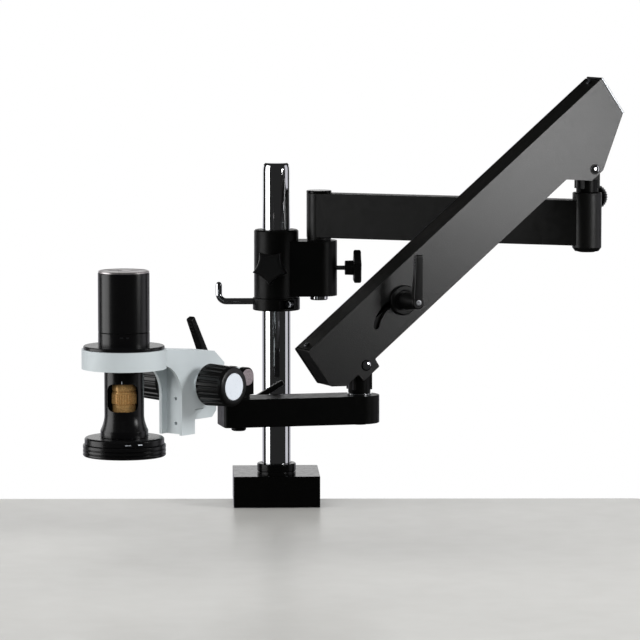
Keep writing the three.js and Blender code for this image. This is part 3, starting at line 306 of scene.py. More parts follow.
def rod(start, end, radius, end_radius=None, edge=0.3, steps=40):
    """Round rod or cone between two points."""
    run = Vector(end) - Vector(start)
    tip_radius = radius if end_radius is None else end_radius
    return aimed(turned([(radius, 0), (tip_radius, run.length)], steps, edge), run, start)


def across(x, z, front, back, radius, edge=0.3):
    """Round rod along Y between two Y values."""
    return rod((x, front, z), (x, back, z), radius, None, edge)


def block(x0, x1, y0, y1, z0, z1, edge=0.0):
    """Box with rounded edges."""
    return prism(rectangle(x0, x1, y0, y1), z0, z1, edge)


def sweep(path, radius, steps=20):
    """Round wire along a list of points, with domed ends."""
    points = [Vector(p) for p in path]
    last = len(points) - 1
    tangents = [(points[min(i + 1, last)] - points[max(i - 1, 0)]).normalized() for i in range(last + 1)]
    dome = [(cos(t), sin(t)) for t in (1.1, 0.6, 0.15)]
    normal = tangents[0].orthogonal().normalized()
    rings = []
    for i, (point, tangent) in enumerate(zip(points, tangents)):
        if i:
            normal = tangents[i - 1].rotation_difference(tangent) @ normal
        side = tangent.cross(normal)
        stops = [(0, 1.0)]
        if i == 0:
            stops = [(-shift, scale) for shift, scale in reversed(dome)] + stops
        if i == last:
            stops = stops + dome
        for shift, scale in stops:
            centre = point + tangent * radius * shift
            spokes = [normal * cos(TAU * k / steps) + side * sin(TAU * k / steps) for k in range(steps)]
            rings.append([centre + spoke * radius * scale for spoke in spokes])
    return mesh_of(lambda bm: skin(bm, rings))


def placed(name, data):
    """A new object in the scene."""
    obj = bpy.data.objects.new(name, data)
    bpy.context.scene.collection.objects.link(obj)
    return obj


def evaluated(mesh, kind, **settings):
    """The mesh after a modifier."""
    holder = placed("work", mesh)
    modifier = holder.modifiers.new(kind, kind)
    for key, value in settings.items():
        setattr(modifier, key, value)
    graph = bpy.context.evaluated_depsgraph_get()
    result = bpy.data.meshes.new_from_object(holder.evaluated_get(graph))
    bpy.data.objects.remove(holder)
    return result


def softened(mesh, width, segments=2, angle=35):
    """Sharp edges rounded."""
    return evaluated(mesh, "BEVEL", width=width, segments=segments, limit_method="ANGLE",
                     angle_limit=radians(angle), use_clamp_overlap=True)


def boolean(base, others, operation):
    """Exact boolean of a mesh with several others."""
    result = base
    for other in others:
        tool = placed("tool", other)
        result = evaluated(result, "BOOLEAN", operation=operation, object=tool, solver="EXACT")
        bpy.data.objects.remove(tool)
    return result


def cut(base, *tools):
    """A mesh with others taken out of it."""
    return boolean(base, tools, "DIFFERENCE")


def fuse(base, *others):
    """A mesh joined with others as one solid."""
    return boolean(base, others, "UNION")


def together(*meshes):
    """Several meshes as one, without a boolean."""
    bm = bmesh.new()
    for mesh in meshes:
        bm.from_mesh(mesh)
    return baked(bm)


def piece(name, mesh, place, body, slot, *nodes, sharp=32):
    """A named visible piece that rides on a body and stands for its CAD nodes."""
    mesh = mesh.copy()
    mesh.transform(place)
    mesh.materials.clear()
    mesh.materials.append(MATERIALS[slot])
    mesh.shade_smooth()
    mesh.set_sharp_from_angle(angle=radians(sharp))
    obj = placed(name, evaluated(mesh, "WEIGHTED_NORMAL", keep_sharp=True, weight=100))
    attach(obj, body)
    if nodes:
        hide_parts(*nodes)


# ---------------------------------------------------------------- materials

class Look:
    """A material and the noise laid over its colour, roughness and surface."""

    def __init__(self, name, color, roughness, metallic=0.0, specular=0.5):
        self.material = bpy.data.materials.new(name)
        self.material.use_nodes = True
        self.tree = self.material.node_tree
        self.inputs = self.tree.nodes["Principled BSDF"].inputs
        self.color, self.roughness = color, roughness
        self.inputs["Base Color"].default_value = (*color, 1)
        self.inputs["Roughness"].default_value = roughness
        self.inputs["Metallic"].default_value = metallic
        self.inputs["Specular IOR Level"].default_value = specular
        self.place = self.tree.nodes.new("ShaderNodeTexCoord").outputs["Object"]

    def node(self, kind, source, socket, **values):
        """A new node fed by a source, with some of its inputs set."""
        node = self.tree.nodes.new("ShaderNode" + kind)
        for key, value in values.items():
            node.inputs[key.replace("_", " ")].default_value = value
        self.tree.links.new(source, node.inputs[socket])
        return node

    def noise(self, scale, detail):
        """Noise over the piece, in features per metre."""
        return self.node("TexNoise", self.place, "Vector", Scale=scale, Detail=detail).outputs["Fac"]

    def tint(self, share, scale, detail=3):
        """Base colour that varies by a share of itself."""
        ramp = self.node("ValToRGB", self.noise(scale, detail), "Fac")
        darker, lighter = ramp.color_ramp.elements
        darker.position, lighter.position = 0.3, 0.7
        darker.color = (*[c * (1 - share) for c in self.color], 1)
        lighter.color = (*[min(c * (1 + share), 1) for c in self.color], 1)
        self.tree.links.new(ramp.outputs["Color"], self.inputs["Base Color"])

    def wear(self, spread, scale, detail=3):
        """Roughness that varies about its mean."""
        node = self.node("MapRange", self.noise(scale, detail), "Value", From_Min=0.3, From_Max=0.7,
                         To_Min=max(self.roughness - spread, 0.01), To_Max=self.roughness + spread)
        self.tree.links.new(node.outputs["Result"], self.inputs["Roughness"])

    def bump(self, depth, strength, scale, detail=3):
        """Fine relief, its depth in metres."""
        node = self.node("Bump", self.noise(scale, detail), "Height", Distance=depth, Strength=strength)
        self.tree.links.new(node.outputs["Normal"], self.inputs["Normal"])


# Colour, roughness, metallic share and specular level, then the noise: tint (share), wear (spread)
# and bump (depth in metres, strength), each with its features per metre and, where not 3, its detail.
DEEP_BLACK = (0.0018, 0.0018, 0.0017)
LOOKS = {
    "powder_black": (DEEP_BLACK, 0.2, 0, 0.25, (0.08, 40), (0.05, 140), (0.00002, 0.6, 1500, 4)),
    "cast_black": (DEEP_BLACK, 0.36, 0, 0.18, (0.08, 40), (0.05, 140), (0.00004, 0.6, 1500, 4)),
    "textured_black": ((0.005, 0.005, 0.005), 0.34, 0, 1.0, (0.3, 700), (0.05, 900), (0.0002, 0.6, 900, 4)),
    "satin_black": ((0.003, 0.003, 0.0028), 0.42, 0, 0.55, (0.08, 40), (0.05, 140), (0.0001, 0.6, 900, 4)),
    "cover_black": (
        (0.0025, 0.0024, 0.0021), 0.38, 0, 0.35, (0.08, 40), (0.05, 140), (0.00004, 0.6, 1500, 4),
    ),
    "anodised_black": ((0.003, 0.003, 0.0032), 0.25, 0, 0.5, (0.06, 60), (0.012, 60), None),
    "chrome": ((0.86, 0.87, 0.89), 0.05, 1, 0.5, (0.02, 90), (0.015, 220), None),
    "zinc": ((0.40, 0.41, 0.43), 0.33, 1, 0.5, (0.08, 300), (0.08, 500), (0.00001, 0.5, 3000, 2)),
    "black_plastic": ((0.003, 0.003, 0.003), 0.33, 0, 0.5, (0.1, 80), (0.05, 400), (0.00002, 0.4, 2600, 2)),
    "white_enamel": ((0.60, 0.655, 0.675), 0.42, 0, 0.45, (0.02, 50), (0.05, 200), (0.00003, 0.5, 1300)),
    "cap_white": ((0.80, 0.85, 0.92), 0.30, 0, 0.5, (0.01, 120), (0.04, 500), None),
    "silver_cap": ((0.62, 0.58, 0.58), 0.30, 0.9, 0.5, (0.04, 200), (0.05, 900), None),
    "brass": ((0.64, 0.38, 0.145), 0.27, 0.4, 0.5, (0.04, 250), (0.03, 700), None),
    "brown_rubber": ((0.060, 0.014, 0.011), 0.62, 0, 0.5, (0.2, 300), None, (0.00004, 1, 1800)),
    "speckled": ((0.36, 0.31, 0.33), 0.55, 0.3, 0.5, (0.55, 1400, 2), None, (0.00012, 1, 1400, 2)),
    "spring_steel": ((0.30, 0.31, 0.33), 0.36, 1, 0.5, (0.15, 400), (0.08, 800), None),
    "circuit_board": ((0.015, 0.10, 0.035), 0.45, 0, 0.5, (0.3, 500), None, None),
    "lens_glass": ((0.75, 0.82, 0.92), 0.03, 0, 0.5, None, (0.01, 300), None),
    "diffuser": ((0.86, 0.86, 0.83), 0.55, 0, 0.5, (0.02, 700), None, (0.00003, 1, 2000)),
    "table_top": ((0.54, 0.535, 0.512), 0.33, 0, 0.4, (0.03, 5), (0.03, 30), (0.00004, 0.5, 1500)),
}


def make_material(name, color, roughness, metallic, specular, tint, wear, bump):
    """The material of one row of LOOKS."""
    look = Look(name, color, roughness, metallic, specular)
    for layer, amounts in ((look.tint, tint), (look.wear, wear), (look.bump, bump)):
        if amounts:
            layer(*amounts)
    if name == "lens_glass":
        look.inputs["IOR"].default_value = 1.52
        look.inputs["Transmission Weight"].default_value = 0.9
    return look.material


MATERIALS = {name: make_material(name, *row) for name, row in LOOKS.items()}


# ---------------------------------------------------------------- repeated details

def helical_thread(radius, depth, pitch, bottom, top, steps=48):
    """Screw thread about Z as one closed skin."""
    rows_per_turn = 8
    rows = int((top - bottom) / pitch * rows_per_turn)
    rings = []
    for i in range(rows + 1):
        z = bottom + (top - bottom) * i / rows
        loop = []
        for k in range(steps):
            phase = ((z - bottom) / pitch - k / steps) % 1
            crest = 1 - abs(2 * phase - 1)
            size = radius - depth * (1 - min(crest * 1.5, 1))
            loop.append(polar(size, TAU * k / steps, z))
        rings.append(loop)
    return mesh_of(lambda bm: skin(bm, rings))


def ribbed(radius_of, levels, count, per_rib=8):
    """Round skin about Z whose radius depends on the level and the place within a rib."""
    rings = []
    for z, scale, relief in levels:
        loop = []
        for k in range(count * per_rib):
            size = scale * radius_of((k % per_rib) / per_rib, relief)
            loop.append(polar(size, TAU * k / (count * per_rib), z))
        rings.append(loop)
    return mesh_of(lambda bm: skin(bm, rings))


def socket_screw(radius, bottom, top, key):
    """Cap-screw head about Z with a hexagonal socket."""
    return cut(disc(radius, bottom, top, 0.35), prism(hexagon(key), top - 0.55 * (top - bottom), top + 1))


def dome_screw(radius, bottom, top):
    """Low domed head about Z."""
    rise = top - bottom
    crown = [(radius * cos(t), bottom + 0.35 * rise + 0.65 * rise * sin(t)) for t in steps_of(15, 0, 6)]
    return lathe([(0, bottom), (radius, bottom), *crown, (0, top)], 48, 0.1, closed=False)


def clamp_lever(hub, arm, root, end, lean, thick):
    """Clamping lever and its screw: hub along +X from the origin, arm along +Z that leans outwards."""
    half, rib_reach, rib_height = thick / 2, 2.1, 1.2
    outline = [(hub - root, -1), (hub, -1), (hub + lean, arm), (hub + lean - end, arm)]
    handle = plate(rounded(outline, 2.2, arc=5), -half, half, 1.6)
    for vertex in handle.vertices:
        vertex.co.y *= 1 - 0.28 * vertex.co.z / arm
    barrel = turned([
        (7.6, 0), (8.6, 1.2), (8.6, 5), (9.4, 6), (7.2, hub - 6), (7.0, hub - 0.8), (6.2, hub),
    ], 56, 0.8)
    screw = socket_screw(3.1, hub - 0.4, hub + 0.5, 1.7)
    rib_half = half * 0.86 + 0.25
    ribs = []
    for share in (0.72, 0.78, 0.84, 0.9):
        x, z = hub + lean * share - end * 0.5, arm * share
        rib = rounded(rectangle(x - rib_reach, x + rib_reach, z, z + rib_height), 0.4)
        ribs.append(plate(rib, -rib_half, rib_half))
    return together(aimed(barrel, RIGHT), handle, *ribs), aimed(screw, RIGHT)


def star_knob(face, tip_distance, stud_radius, z, lobe_angle):
    """Five-pointed knob with concave sides and a domed face, axis along +X, and its stud."""
    lobes, per_lobe = 5, 32
    outer, inner, thickness, neck_radius, neck_length = 20.6, 14, 8.8, 8, 9.6
    half_step = pi / lobes
    centre = (outer ** 2 - inner ** 2) / (2 * (outer * cos(half_step) - inner))
    arc = centre - inner

    def star(from_point):
        """Radius at an angle from the nearest point of the star."""
        from_valley = half_step - from_point
        radius = centre * cos(from_valley) - sqrt(arc ** 2 - (centre * sin(from_valley)) ** 2)
        soft = outer - 0.5 - 0.5 * (from_point / 0.09) ** 2
        return min(radius, soft) if from_point < 0.12 else radius

    levels = [
        (-thickness, 0.88), (-thickness + 0.4, 0.95), (-thickness + 1.4, 1.0), (-2.4, 1.0), (-1.2, 0.985),
        (-0.5, 0.95), (-0.1, 0.88), (0.0, 0.72), (0.0, 0.3), (0.0, 0.02),
    ]
    rings = []
    for x, scale in levels:
        loop = []
        for i in range(lobes * per_lobe):
            from_point = abs(i % per_lobe - per_lobe / 2) / (per_lobe / 2) * half_step
            angle = (i - per_lobe / 2) / per_lobe * 2 * half_step + radians(lobe_angle)
            radius = scale * star(from_point)
            loop.append((face + x, radius * cos(angle), z + radius * sin(angle)))
        rings.append(loop)
    head = mesh_of(lambda bm: skin(bm, rings))
    back = face - thickness
    neck = rod((back - neck_length, 0, z), (back + 1, 0, z), neck_radius, neck_radius + 0.4, 0.5)
    stud = rod((tip_distance, 0, z), (back, 0, z), stud_radius, None, 0.2)
    return together(head, neck), stud


def lever_pieces(lever_name, lever, screw_name, screw, place, body, node):
    """The two pieces of a clamping lever."""
    piece(lever_name, lever, place, body, "black_plastic", node)
    piece(screw_name, screw, place, body, "zinc")


# ---------------------------------------------------------------- clamp and pole

def build_clamp():
    """Table clamp: frame, screw with its shoe, and tommy bar."""
    low_z, top = heights("clamp_frame")
    box_low, box_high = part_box("clamp_frame")
    half = box_high.x / MM
    front, back = box_low.y / MM, box_high.y / MM
    throat, spine, lower_half, screw_y = -58, 54, 28, 16
    body = fuse(
        block(-half, half, front, back, 0, top),
        bar([(spine, top - 5), (spine, throat), (-12, throat), (-12, low_z + 6), (-6, low_z),
             (back - 8, low_z), (back - 1, low_z + 8), (back - 1, top - 5)], -lower_half, lower_half),
    )
    screw = offset(0, screw_y)
    body = cut(body, disc(POLE_BORE, 6, top + 5), moved(disc(7.2, low_z - 5, throat + 5), screw))
    piece("clamp_body", softened(body, 0.9, 3), WORLD, "clamp_base", "powder_black", "clamp_frame")

    place = WORLD @ screw
    pad_low, pad_top = heights("clamp_pad")
    piece("clamp_shoe", turned([
        (15, pad_top - 0.6), (16, pad_top), (19.5, pad_top), (20, pad_top - 5), (14, pad_low),
        (8.5, pad_low), (8.5, pad_low + 4),
    ], 72, 0.5), place, "clamp_shoe", "powder_black", "clamp_pad")
    head_low = low("clamp_screw")
    head_top, hole_z = head_low + 18, head_low + 9
    spindle = together(
        helical_thread(7, 0.9, 3, head_top - 1, pad_low + 1),
        disc(8.1, pad_low - 0.3, pad_low + 3.6, 0.4),
        cut(disc(11, head_low, head_top + 1.5, 1.2), rod((-20, 0, hole_z), (20, 0, hole_z), 4.2)),
    )
    piece("clamp_spindle", spindle, place, "clamp_spindle", "zinc", "clamp_screw")
    box_low, box_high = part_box("clamp_tbar")
    reach, z = box_high.x / MM, (box_low.z + box_high.z) / 2 / MM
    ends = [rod((side * reach, 0, z), (side * (reach - 12), 0, z), 6.4, 5.6, 1.6) for side in (-1, 1)]
    handle = together(rod((-reach + 6, 0, z), (reach - 6, 0, z), 4), *ends)
    piece("tommy_bar", handle, place, "tommy_bar", "zinc", "clamp_tbar")


def build_pole():
    """Chrome pole with a rounded top, and the socket that it stands in."""
    seat, top = heights("pole")
    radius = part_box("pole")[1].x / MM
    shoulder_z = top - 10
    crown = [(radius - 1.9 * (1 - cos(t)), shoulder_z + 8.6 * sin(t)) for t in steps_of(18, 1, 6)]
    profile = [(radius, seat), (radius, shoulder_z), *crown, (radius - 3.0, top)]
    piece("chrome_pole", turned(profile, 144, 0.2), WORLD, "clamp_base", "chrome", "pole")
    bottom, lid = heights("pole_flange")
    piece("pole_socket", lathe([
        (radius + 0.3, bottom), (21.8, bottom), (21.8, bottom + 3), (21.3, bottom + 3.6),
        (21.3, bottom + 4.2), (21.9, bottom + 4.8), (21.9, lid - 1), (21, lid), (radius + 1.2, lid),
        (radius + 0.3, lid - 1),
    ], 96, 0.35), WORLD, "clamp_base", "powder_black", "pole_flange")


def build_collar():
    """Split collar with its clamp screw and cable hook."""
    bottom, top = heights("stop_collar")
    screw_x, screw_z = 21, 229.3
    turn = Matrix.Rotation(radians(-30), 4, "Z")
    body = lathe([
        (POLE_BORE, bottom), (25.9, bottom), (26.5, bottom + 0.6), (26.5, top - 0.2), (26.2, top),
        (POLE_BORE, top),
    ], 120, 0.3)
    body = cut(
        body, moved(block(14, 30, -0.9, 0.9, bottom - 1, top + 1), turn),
        moved(block(15.8, 30, -30, -6, screw_z - 4.9, screw_z + 4.7), turn),
    )
    piece("height_collar", softened(body, 0.3), WORLD, "collar", "cast_black", "stop_collar")
    head = aimed(socket_screw(4.1, 6.2, 11, 2.2), FRONT, (screw_x, 0, screw_z))
    shank = across(screw_x, screw_z, -8, 12, 2.1)
    piece("collar_clamp_screw", moved(together(head, shank), turn), WORLD, "collar", "zinc", "collar_screw")
    box_low, box_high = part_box("collar_hook")
    radius, bend = (box_high.y - box_low.y) / 2 / MM, 8.5
    z = box_low.z / MM + radius
    out, up = box_low.x / MM + radius, box_high.z / MM - radius
    path = [(-21, 0, z), (-30, 0, z), (out + bend + 6, 0, z)]
    path += [(out + bend + bend * cos(t), 0, z + bend + bend * sin(t)) for t in steps_of(-9, 10, 21)]
    path += [(out, 0, z + bend + 4), (out, 0, up)]
    piece("cable_hook", sweep(path, radius, 32), WORLD, "collar", "chrome", "collar_hook", sharp=60)


def build_sleeve():
    """Swinging sleeve with the boss of the first arm's hinge, and its two star knobs."""
    bottom, top = heights("pole_sleeve")
    boss_x, boss = shoulder.x / MM, 20.4
    boss_outline = [(0, -boss)] + arc_points(boss_x, 0, boss, -90, 90, 40) + [(0, boss)]
    tube = turned([(25, bottom), (25, top - 1.5), (23.5, top)], 128)
    body = fuse(tube, prism(boss_outline, bottom + 2, 300.2))
    bolt_hole = moved(disc(6.6, 200, 320, 0.1), offset(boss_x))
    body = cut(body, disc(POLE_BORE, bottom - 5, top + 5, 0.1, 96), bolt_hole)
    piece("swing_sleeve", softened(body, 0.7, 3), WORLD, "sleeve", "cast_black", "pole_sleeve")
    front_place = upright(ORIGIN, axle("front_knob_spin"))
    for side, place, face, tip_distance, stud_radius, turn in (
        ("front", front_place, 45, 17, 4, 53), ("side", WORLD, 95.5, 55, 2.5, 18),
    ):
        z = pivot(side + "_knob_spin").z / MM
        head, stud = star_knob(face, tip_distance, stud_radius, z, turn)
        body = side + "_clamp_knob"
        piece(side + "_star_knob", head, place, body, "black_plastic", side + "_knob")
        piece(side + "_star_stud", stud, place, body, "zinc")


# ---------------------------------------------------------------- first arm and elbow

def build_swing_arm():
    """First arm with its end bolt, cap and plug, and the thumb knob at the elbow."""
    half, top = 14, 353.5
    right_low, right_high = heights("swing_arm")
    left_low = right_low + 3
    bottom = left_low + 3.3
    far_end = offset(ARM_LENGTH)
    knuckle = turned([
        (13, right_low), (16, right_low + 4), (16, right_high - 0.8), (15.2, right_high),
    ], 120, 0.4)
    beam = bar(rounded(rectangle(-half, half, bottom, top), 1.2, arc=4), 2, ARM_LENGTH - 2)
    body = fuse(
        beam, disc(half, bottom, top, 0.4, 96), disc(13.7, left_low, bottom + 2, 0.5, 96),
        moved(knuckle, far_end),
    )
    body = cut(body, moved(disc(10.9, right_low - 5, right_low + 3.2, 0.1), far_end))
    piece("first_arm", softened(body, 0.35, 2, 50), ARM, "first_arm", "satin_black", "swing_arm")
    bolt = low("pivot_bolt")
    bolt_head = turned([(9.2, bolt), (10.2, bolt + 1), (10.2, 299.8)], 72)
    bolt_mesh = together(bolt_head, disc(6.3, 299, 349.8))
    piece("shoulder_bolt", bolt_mesh, ARM, "first_arm", "chrome", "pivot_bolt")
    cap_low, cap_high = heights("arm_cap")
    cap = turned([(14.2, cap_low), (14.2, cap_high - 0.7), (13.5, cap_high)], 96)
    piece("shoulder_cap", cap, ARM, "first_arm", "powder_black", "arm_cap")
    z = low("elbow_plug")
    plug = turned([(8.5, z), (10.6, z + 0.9), (10.6, z + 3.6)], 72, 0.4)
    piece("elbow_end_plug", moved(plug, far_end), ARM, "first_arm", "brown_rubber", "elbow_plug")

    knurl = ribbed(
        lambda share, relief: 1 - relief * 0.06 * abs(sin(pi * share)),
        [(24, 12.6, 0), (24.4, 13.6, 1), (25.2, 14, 1), (30.9, 14, 1), (31.7, 13.5, 1), (32, 12.6, 0)], 30,
    )
    knob = together(aimed(knurl, REAR), across(0, 0, 19, 25, 8, 0.4))
    place = ARM @ offset(ARM_LENGTH, 0, pivot("elbow_knob_spin").z / MM)
    piece("elbow_thumb_knob", knob, place, "elbow_clamp_knob", "black_plastic", "elbow_knob")
    piece("elbow_thumb_stud", across(0, 0, 9.5, 20, 2.5), place, "elbow_clamp_knob", "zinc")


def tongue(base, foot, axis_z, half=9, crown=11):
    """Bracket body: stud, post and upright tongue."""
    outline = [(-crown, base + 4), (crown, base + 4)]
    outline += arc_points(0, axis_z + LINK_OFFSET, crown, 0, 180, 24)
    return fuse(
        disc(12, base, axis_z - 12, 0.6, 96), disc(9, foot, base + 2, 0.4, 72), plate(outline, -half, half),
    )


def build_brackets():
    """Brackets at the two ends of the boom, and the washer under the lower one."""
    z = upper_pivot.z / MM
    body = cut(tongue(high("swing_arm") + 0.3, 301.3, z), across(0, z, -20, 20, PIN_HOLE))
    body = fuse(body, across(0, z + LINK_OFFSET, -15.2, 14.4, PIN))
    piece("elbow_bracket", softened(body, 0.4), BOOM, "elbow_bracket", "cast_black", "upper_bracket")
    bottom, top = heights("lower_washer")
    z = lower_pivot.z / MM
    holes = [across(0, hole_z, -20, 20, PIN_HOLE) for hole_z in (z, z + LINK_OFFSET)]
    body = cut(tongue(bottom + 1.5, 125.2, z), *holes)
    piece("wrist_bracket", softened(body, 0.4), WRIST, "wrist_bracket", "cast_black", "lower_bracket")
    washer = ring(9.3, 13, bottom, top, 0.25)
    piece("wrist_washer", washer, WRIST, "wrist_bracket", "chrome", "lower_washer")


# ---------------------------------------------------------------- spring arm

TOP, BOTTOM, HALF, SHEET, COVER = 72, 14, 17.5, 2, 1.8
LOW_END, LOW_HEEL, LOW_TOE, HEEL = -384.3, -387.4, -373.7, 25.5
SCREW_HIGH, SCREW_LOW = 60, -376


def in_slope(slope, run, rise):
    """A point given in the boom's upright plane, in axes that rise at a slope."""
    c, s = cos(slope), sin(slope)
    return run * c + rise * s, rise * c - run * s


def arc_slot(x, y, radius, width, start, end):
    """Outline of a slot along an arc, with round ends."""
    def round_end(angle, first):
        turn = radians(angle)
        end_x, end_y = x + radius * cos(turn), y + radius * sin(turn)
        return arc_points(end_x, end_y, width, first, first + 180, 10)[1:-1]
    return (arc_points(x, y, radius + width, start, end, 24) + round_end(end, end)
            + arc_points(x, y, radius - width, end, start, 24) + round_end(start, start + 180))


def side_outline():
    """Outline of the boom's side plates."""
    return [
        (LOW_END, TOP), (LOW_HEEL, HEEL), (LOW_TOE, BOTTOM), (-355.3, BOTTOM), (-354.8, 4.4), (-331, 4.4),
        (-329.8, BOTTOM), (-33.8, BOTTOM), (-10.6, -7.4), (7.2, -7.6), (64, 25), (67, TOP),
    ]


def build_housing():
    """Boom: side plates, covers, end caps, cover screws and pivot bolts."""
    def on_boom(name, mesh, slot, *nodes):
        piece(name, mesh, HOUSING, "boom", slot, *nodes)

    u, v = in_slope(BOOM_TILT, -BOOM_RUN, -BOOM_DROP)
    bolts = (("upper_pivot_bolt", 0, 0), ("lower_pivot_bolt", u, v))
    holes = [across(a, b, -40, 40, PIN_HOLE, 0) for name, a, b in bolts]
    stud = pivot("boom_lever_spin") - upper_pivot
    centre = in_slope(BOOM_TILT, stud.dot(along_boom) / MM, stud.z / MM - LINK_OFFSET)
    slot_tool = plate(arc_slot(*centre, LINK_OFFSET, 3.6, 46, 132), -40, 0)
    outline = rounded(side_outline(), 1.2)
    front = cut(plate(outline, -HALF, -HALF + SHEET), *holes, slot_tool)
    on_boom("boom_front_plate", softened(front, 0.9, 3, 40), "textured_black", "arm_plate_front")

    inner, cover_low = HALF - SHEET, TOP - COVER
    cross = [block(c - 5, c + 5, -inner + 0.3, inner + 1, cover_low - 10.3, cover_low - 0.3)
             for c in (SCREW_HIGH, SCREW_LOW)]
    anchor = 165
    au, av = in_slope(BOOM_TILT, -anchor * cos(LINK_SLOPE), LINK_OFFSET - anchor * sin(LINK_SLOPE))
    rear = cut(plate(outline, inner, HALF), *[hole.copy() for hole in holes])
    rear = together(softened(rear, 0.35, 2, 40), *cross, across(au, av, 13.4, inner + 1, 3))
    on_boom("boom_back_plate", rear, "textured_black", "arm_plate_back")

    half = inner - 0.7
    lid = block(LOW_END + 3, 64.5, -half, half, cover_low, TOP - 0.1, 0.3)
    on_boom("boom_top_cover", lid, "cover_black", "arm_top_cover")
    floor = block(-318, -42, -half, half, BOTTOM + 0.4, BOTTOM + 2.2, 0.3)
    on_boom("boom_bottom_cover", floor, "cover_black", "arm_bottom_cover")
    low_cap = [(LOW_END + 0.4, TOP - 0.3), (LOW_HEEL + 0.4, HEEL), (LOW_TOE + 0.4, BOTTOM + 0.3),
               (LOW_TOE + 2.6, BOTTOM + 1.6), (LOW_HEEL + 2.3, HEEL + 0.7), (LOW_END + 2.4, TOP - 0.4)]
    low_cap = plate(low_cap, -inner + 0.3, inner - 0.3, 0.3)
    on_boom("boom_lower_cap", low_cap, "cover_black", "lower_end_cap")
    up_cap = [(66.3, 24.6), (69.6, TOP), (67.6, TOP), (64.4, 24.7)]
    on_boom("boom_upper_cap", plate(up_cap, -HALF, HALF, 0.3), "zinc", "upper_end_cap")
    for name, x in (("cover_screw_upper", SCREW_HIGH), ("cover_screw_lower", SCREW_LOW)):
        screw = together(socket_screw(3.2, TOP + 0.1, TOP + 1.7, 1.6), disc(2, cover_low - 6, TOP + 0.3))
        on_boom(name + "_head", moved(screw, offset(x)), "zinc", name)
    for name, a, b in bolts:
        spot = (a, 0, b)
        head = aimed(dome_screw(4.9, HALF + 0.2, HALF + 2.6), FRONT, spot)
        flange = aimed(ring(3.9, 5.9, HALF, HALF + 0.5, 0.15), FRONT, spot)
        nut = aimed(prism(hexagon(5.2), HALF + 0.3, HALF + 3.6, 0.4), REAR, spot)
        pin = across(a, b, -HALF - 0.3, HALF + 1, PIN)
        on_boom(name + "_set", together(head, pin, nut), "chrome", name)
        on_boom(name + "_washer", flange, "powder_black")


def build_link():
    """Tie rod inside the boom with its slot stud, the balance spring and the boom's clamp lever."""
    body, half, front, back = "link", 7, -14, -10
    stud = pivot("boom_lever_spin") - link_pivot
    sx, sz = in_slope(LINK_SLOPE, stud.dot(along_boom) / MM, stud.z / MM)
    outline = arc_points(0, 0, half, -90, 90, 16) + arc_points(-LINK_LENGTH, 0, half, 90, 270, 16)
    strap = fuse(plate(outline, front, back), across(sx, sz, front, back, 8, 0))
    strap = cut(strap, across(0, 0, -30, 0, PIN_HOLE, 0), across(sx, sz, -30, 0, 3.3, 0))
    pin = across(-LINK_LENGTH, 0, back - 1, 13, PIN)
    piece("tie_strap", together(softened(strap, 0.4), pin), LINK, body, "cover_black", "tie_rod")
    face = HALF + 0.3
    washer = turned([
        (16, face), (16, face + 2.6), (15, face + 3.6), (11, face + 3.6), (10, face + 3.0),
    ], 96, 0.35)
    washer = aimed(washer, FRONT, (sx, 0, sz))
    thread = across(sx, sz, back, -face - 15.6, 3)
    piece("slot_washer", together(washer, thread), LINK, body, "black_plastic", "slot_stud")
    coils, start, stop, y, mean = 26, -24, -148, 7, 5.2
    turns = [(-12, y, mean), (-18, y, mean)]
    steps = coils * 20
    for i in range(steps + 1):
        angle = TAU * coils * i / steps
        turns.append((start + (stop - start) * i / steps, y + mean * sin(angle), mean * cos(angle)))
    turns += [(-154, y, mean), (-160.5, y, mean - 1)]
    piece("balance_spring", sweep(turns, 0.9, 8), LINK, body, "spring_steel", "lift_spring", sharp=80)
    place = axes(pivot("boom_lever_spin"), axle("boom_lever_spin"), UP) @ offset(face + 3.9)
    lever, screw = clamp_lever(33, 51, 8.6, 6.8, 3, 10.6)
    lever_pieces("boom_clamp_lever", lever, "boom_lever_screw", screw, place, "boom_lever", "slot_lever")


# ---------------------------------------------------------------- last arm and swivel post

def build_tip_arm():
    """Last arm and the lever that clamps the swivel post."""
    half, bottom, top, over, corner, post_hole = 21.5, 123, high("tip_arm"), 19.5, 5, 9.3
    end = TIP_LENGTH + over
    outline = arc_points(0, 0, half, 90, 270, 48)
    outline += arc_points(end - corner, corner - half, corner, 270, 360, 8)
    outline += arc_points(end - corner, half - corner, corner, 0, 90, 8)
    body = cut(
        prism(outline, bottom, top), disc(post_hole, bottom + 1.5, top + 5, 0),
        moved(disc(post_hole, bottom - 5, top + 5, 0), offset(TIP_LENGTH)),
    )
    dome = turned([(8.5, bottom - 2), (12.6, bottom - 0.6), (13, bottom + 0.5)], 72, 0.5)
    body = together(softened(body, 0.9, 3, 50), dome)
    piece("last_arm", body, TIP_ARM, "last_arm", "cast_black", "tip_arm")
    back, lean = (wrist - tip).normalized(), radians(60)
    z_axis = Vector((back.x, back.y, 0)) * sin(lean) + Vector((0, 0, cos(lean)))
    place = axes(pivot("swivel_lever_spin"), axle("swivel_lever_spin"), z_axis) @ offset(half + 0.3)
    lever, screw = clamp_lever(24, 67, 7.6, 6.2, 0, 7.6)
    screw = together(screw, rod((-12, 0, 0), (4, 0, 0), 3))
    lever_pieces(
        "swivel_clamp_lever", lever, "swivel_lever_screw", screw, place, "swivel_lever", "tip_lever",
    )


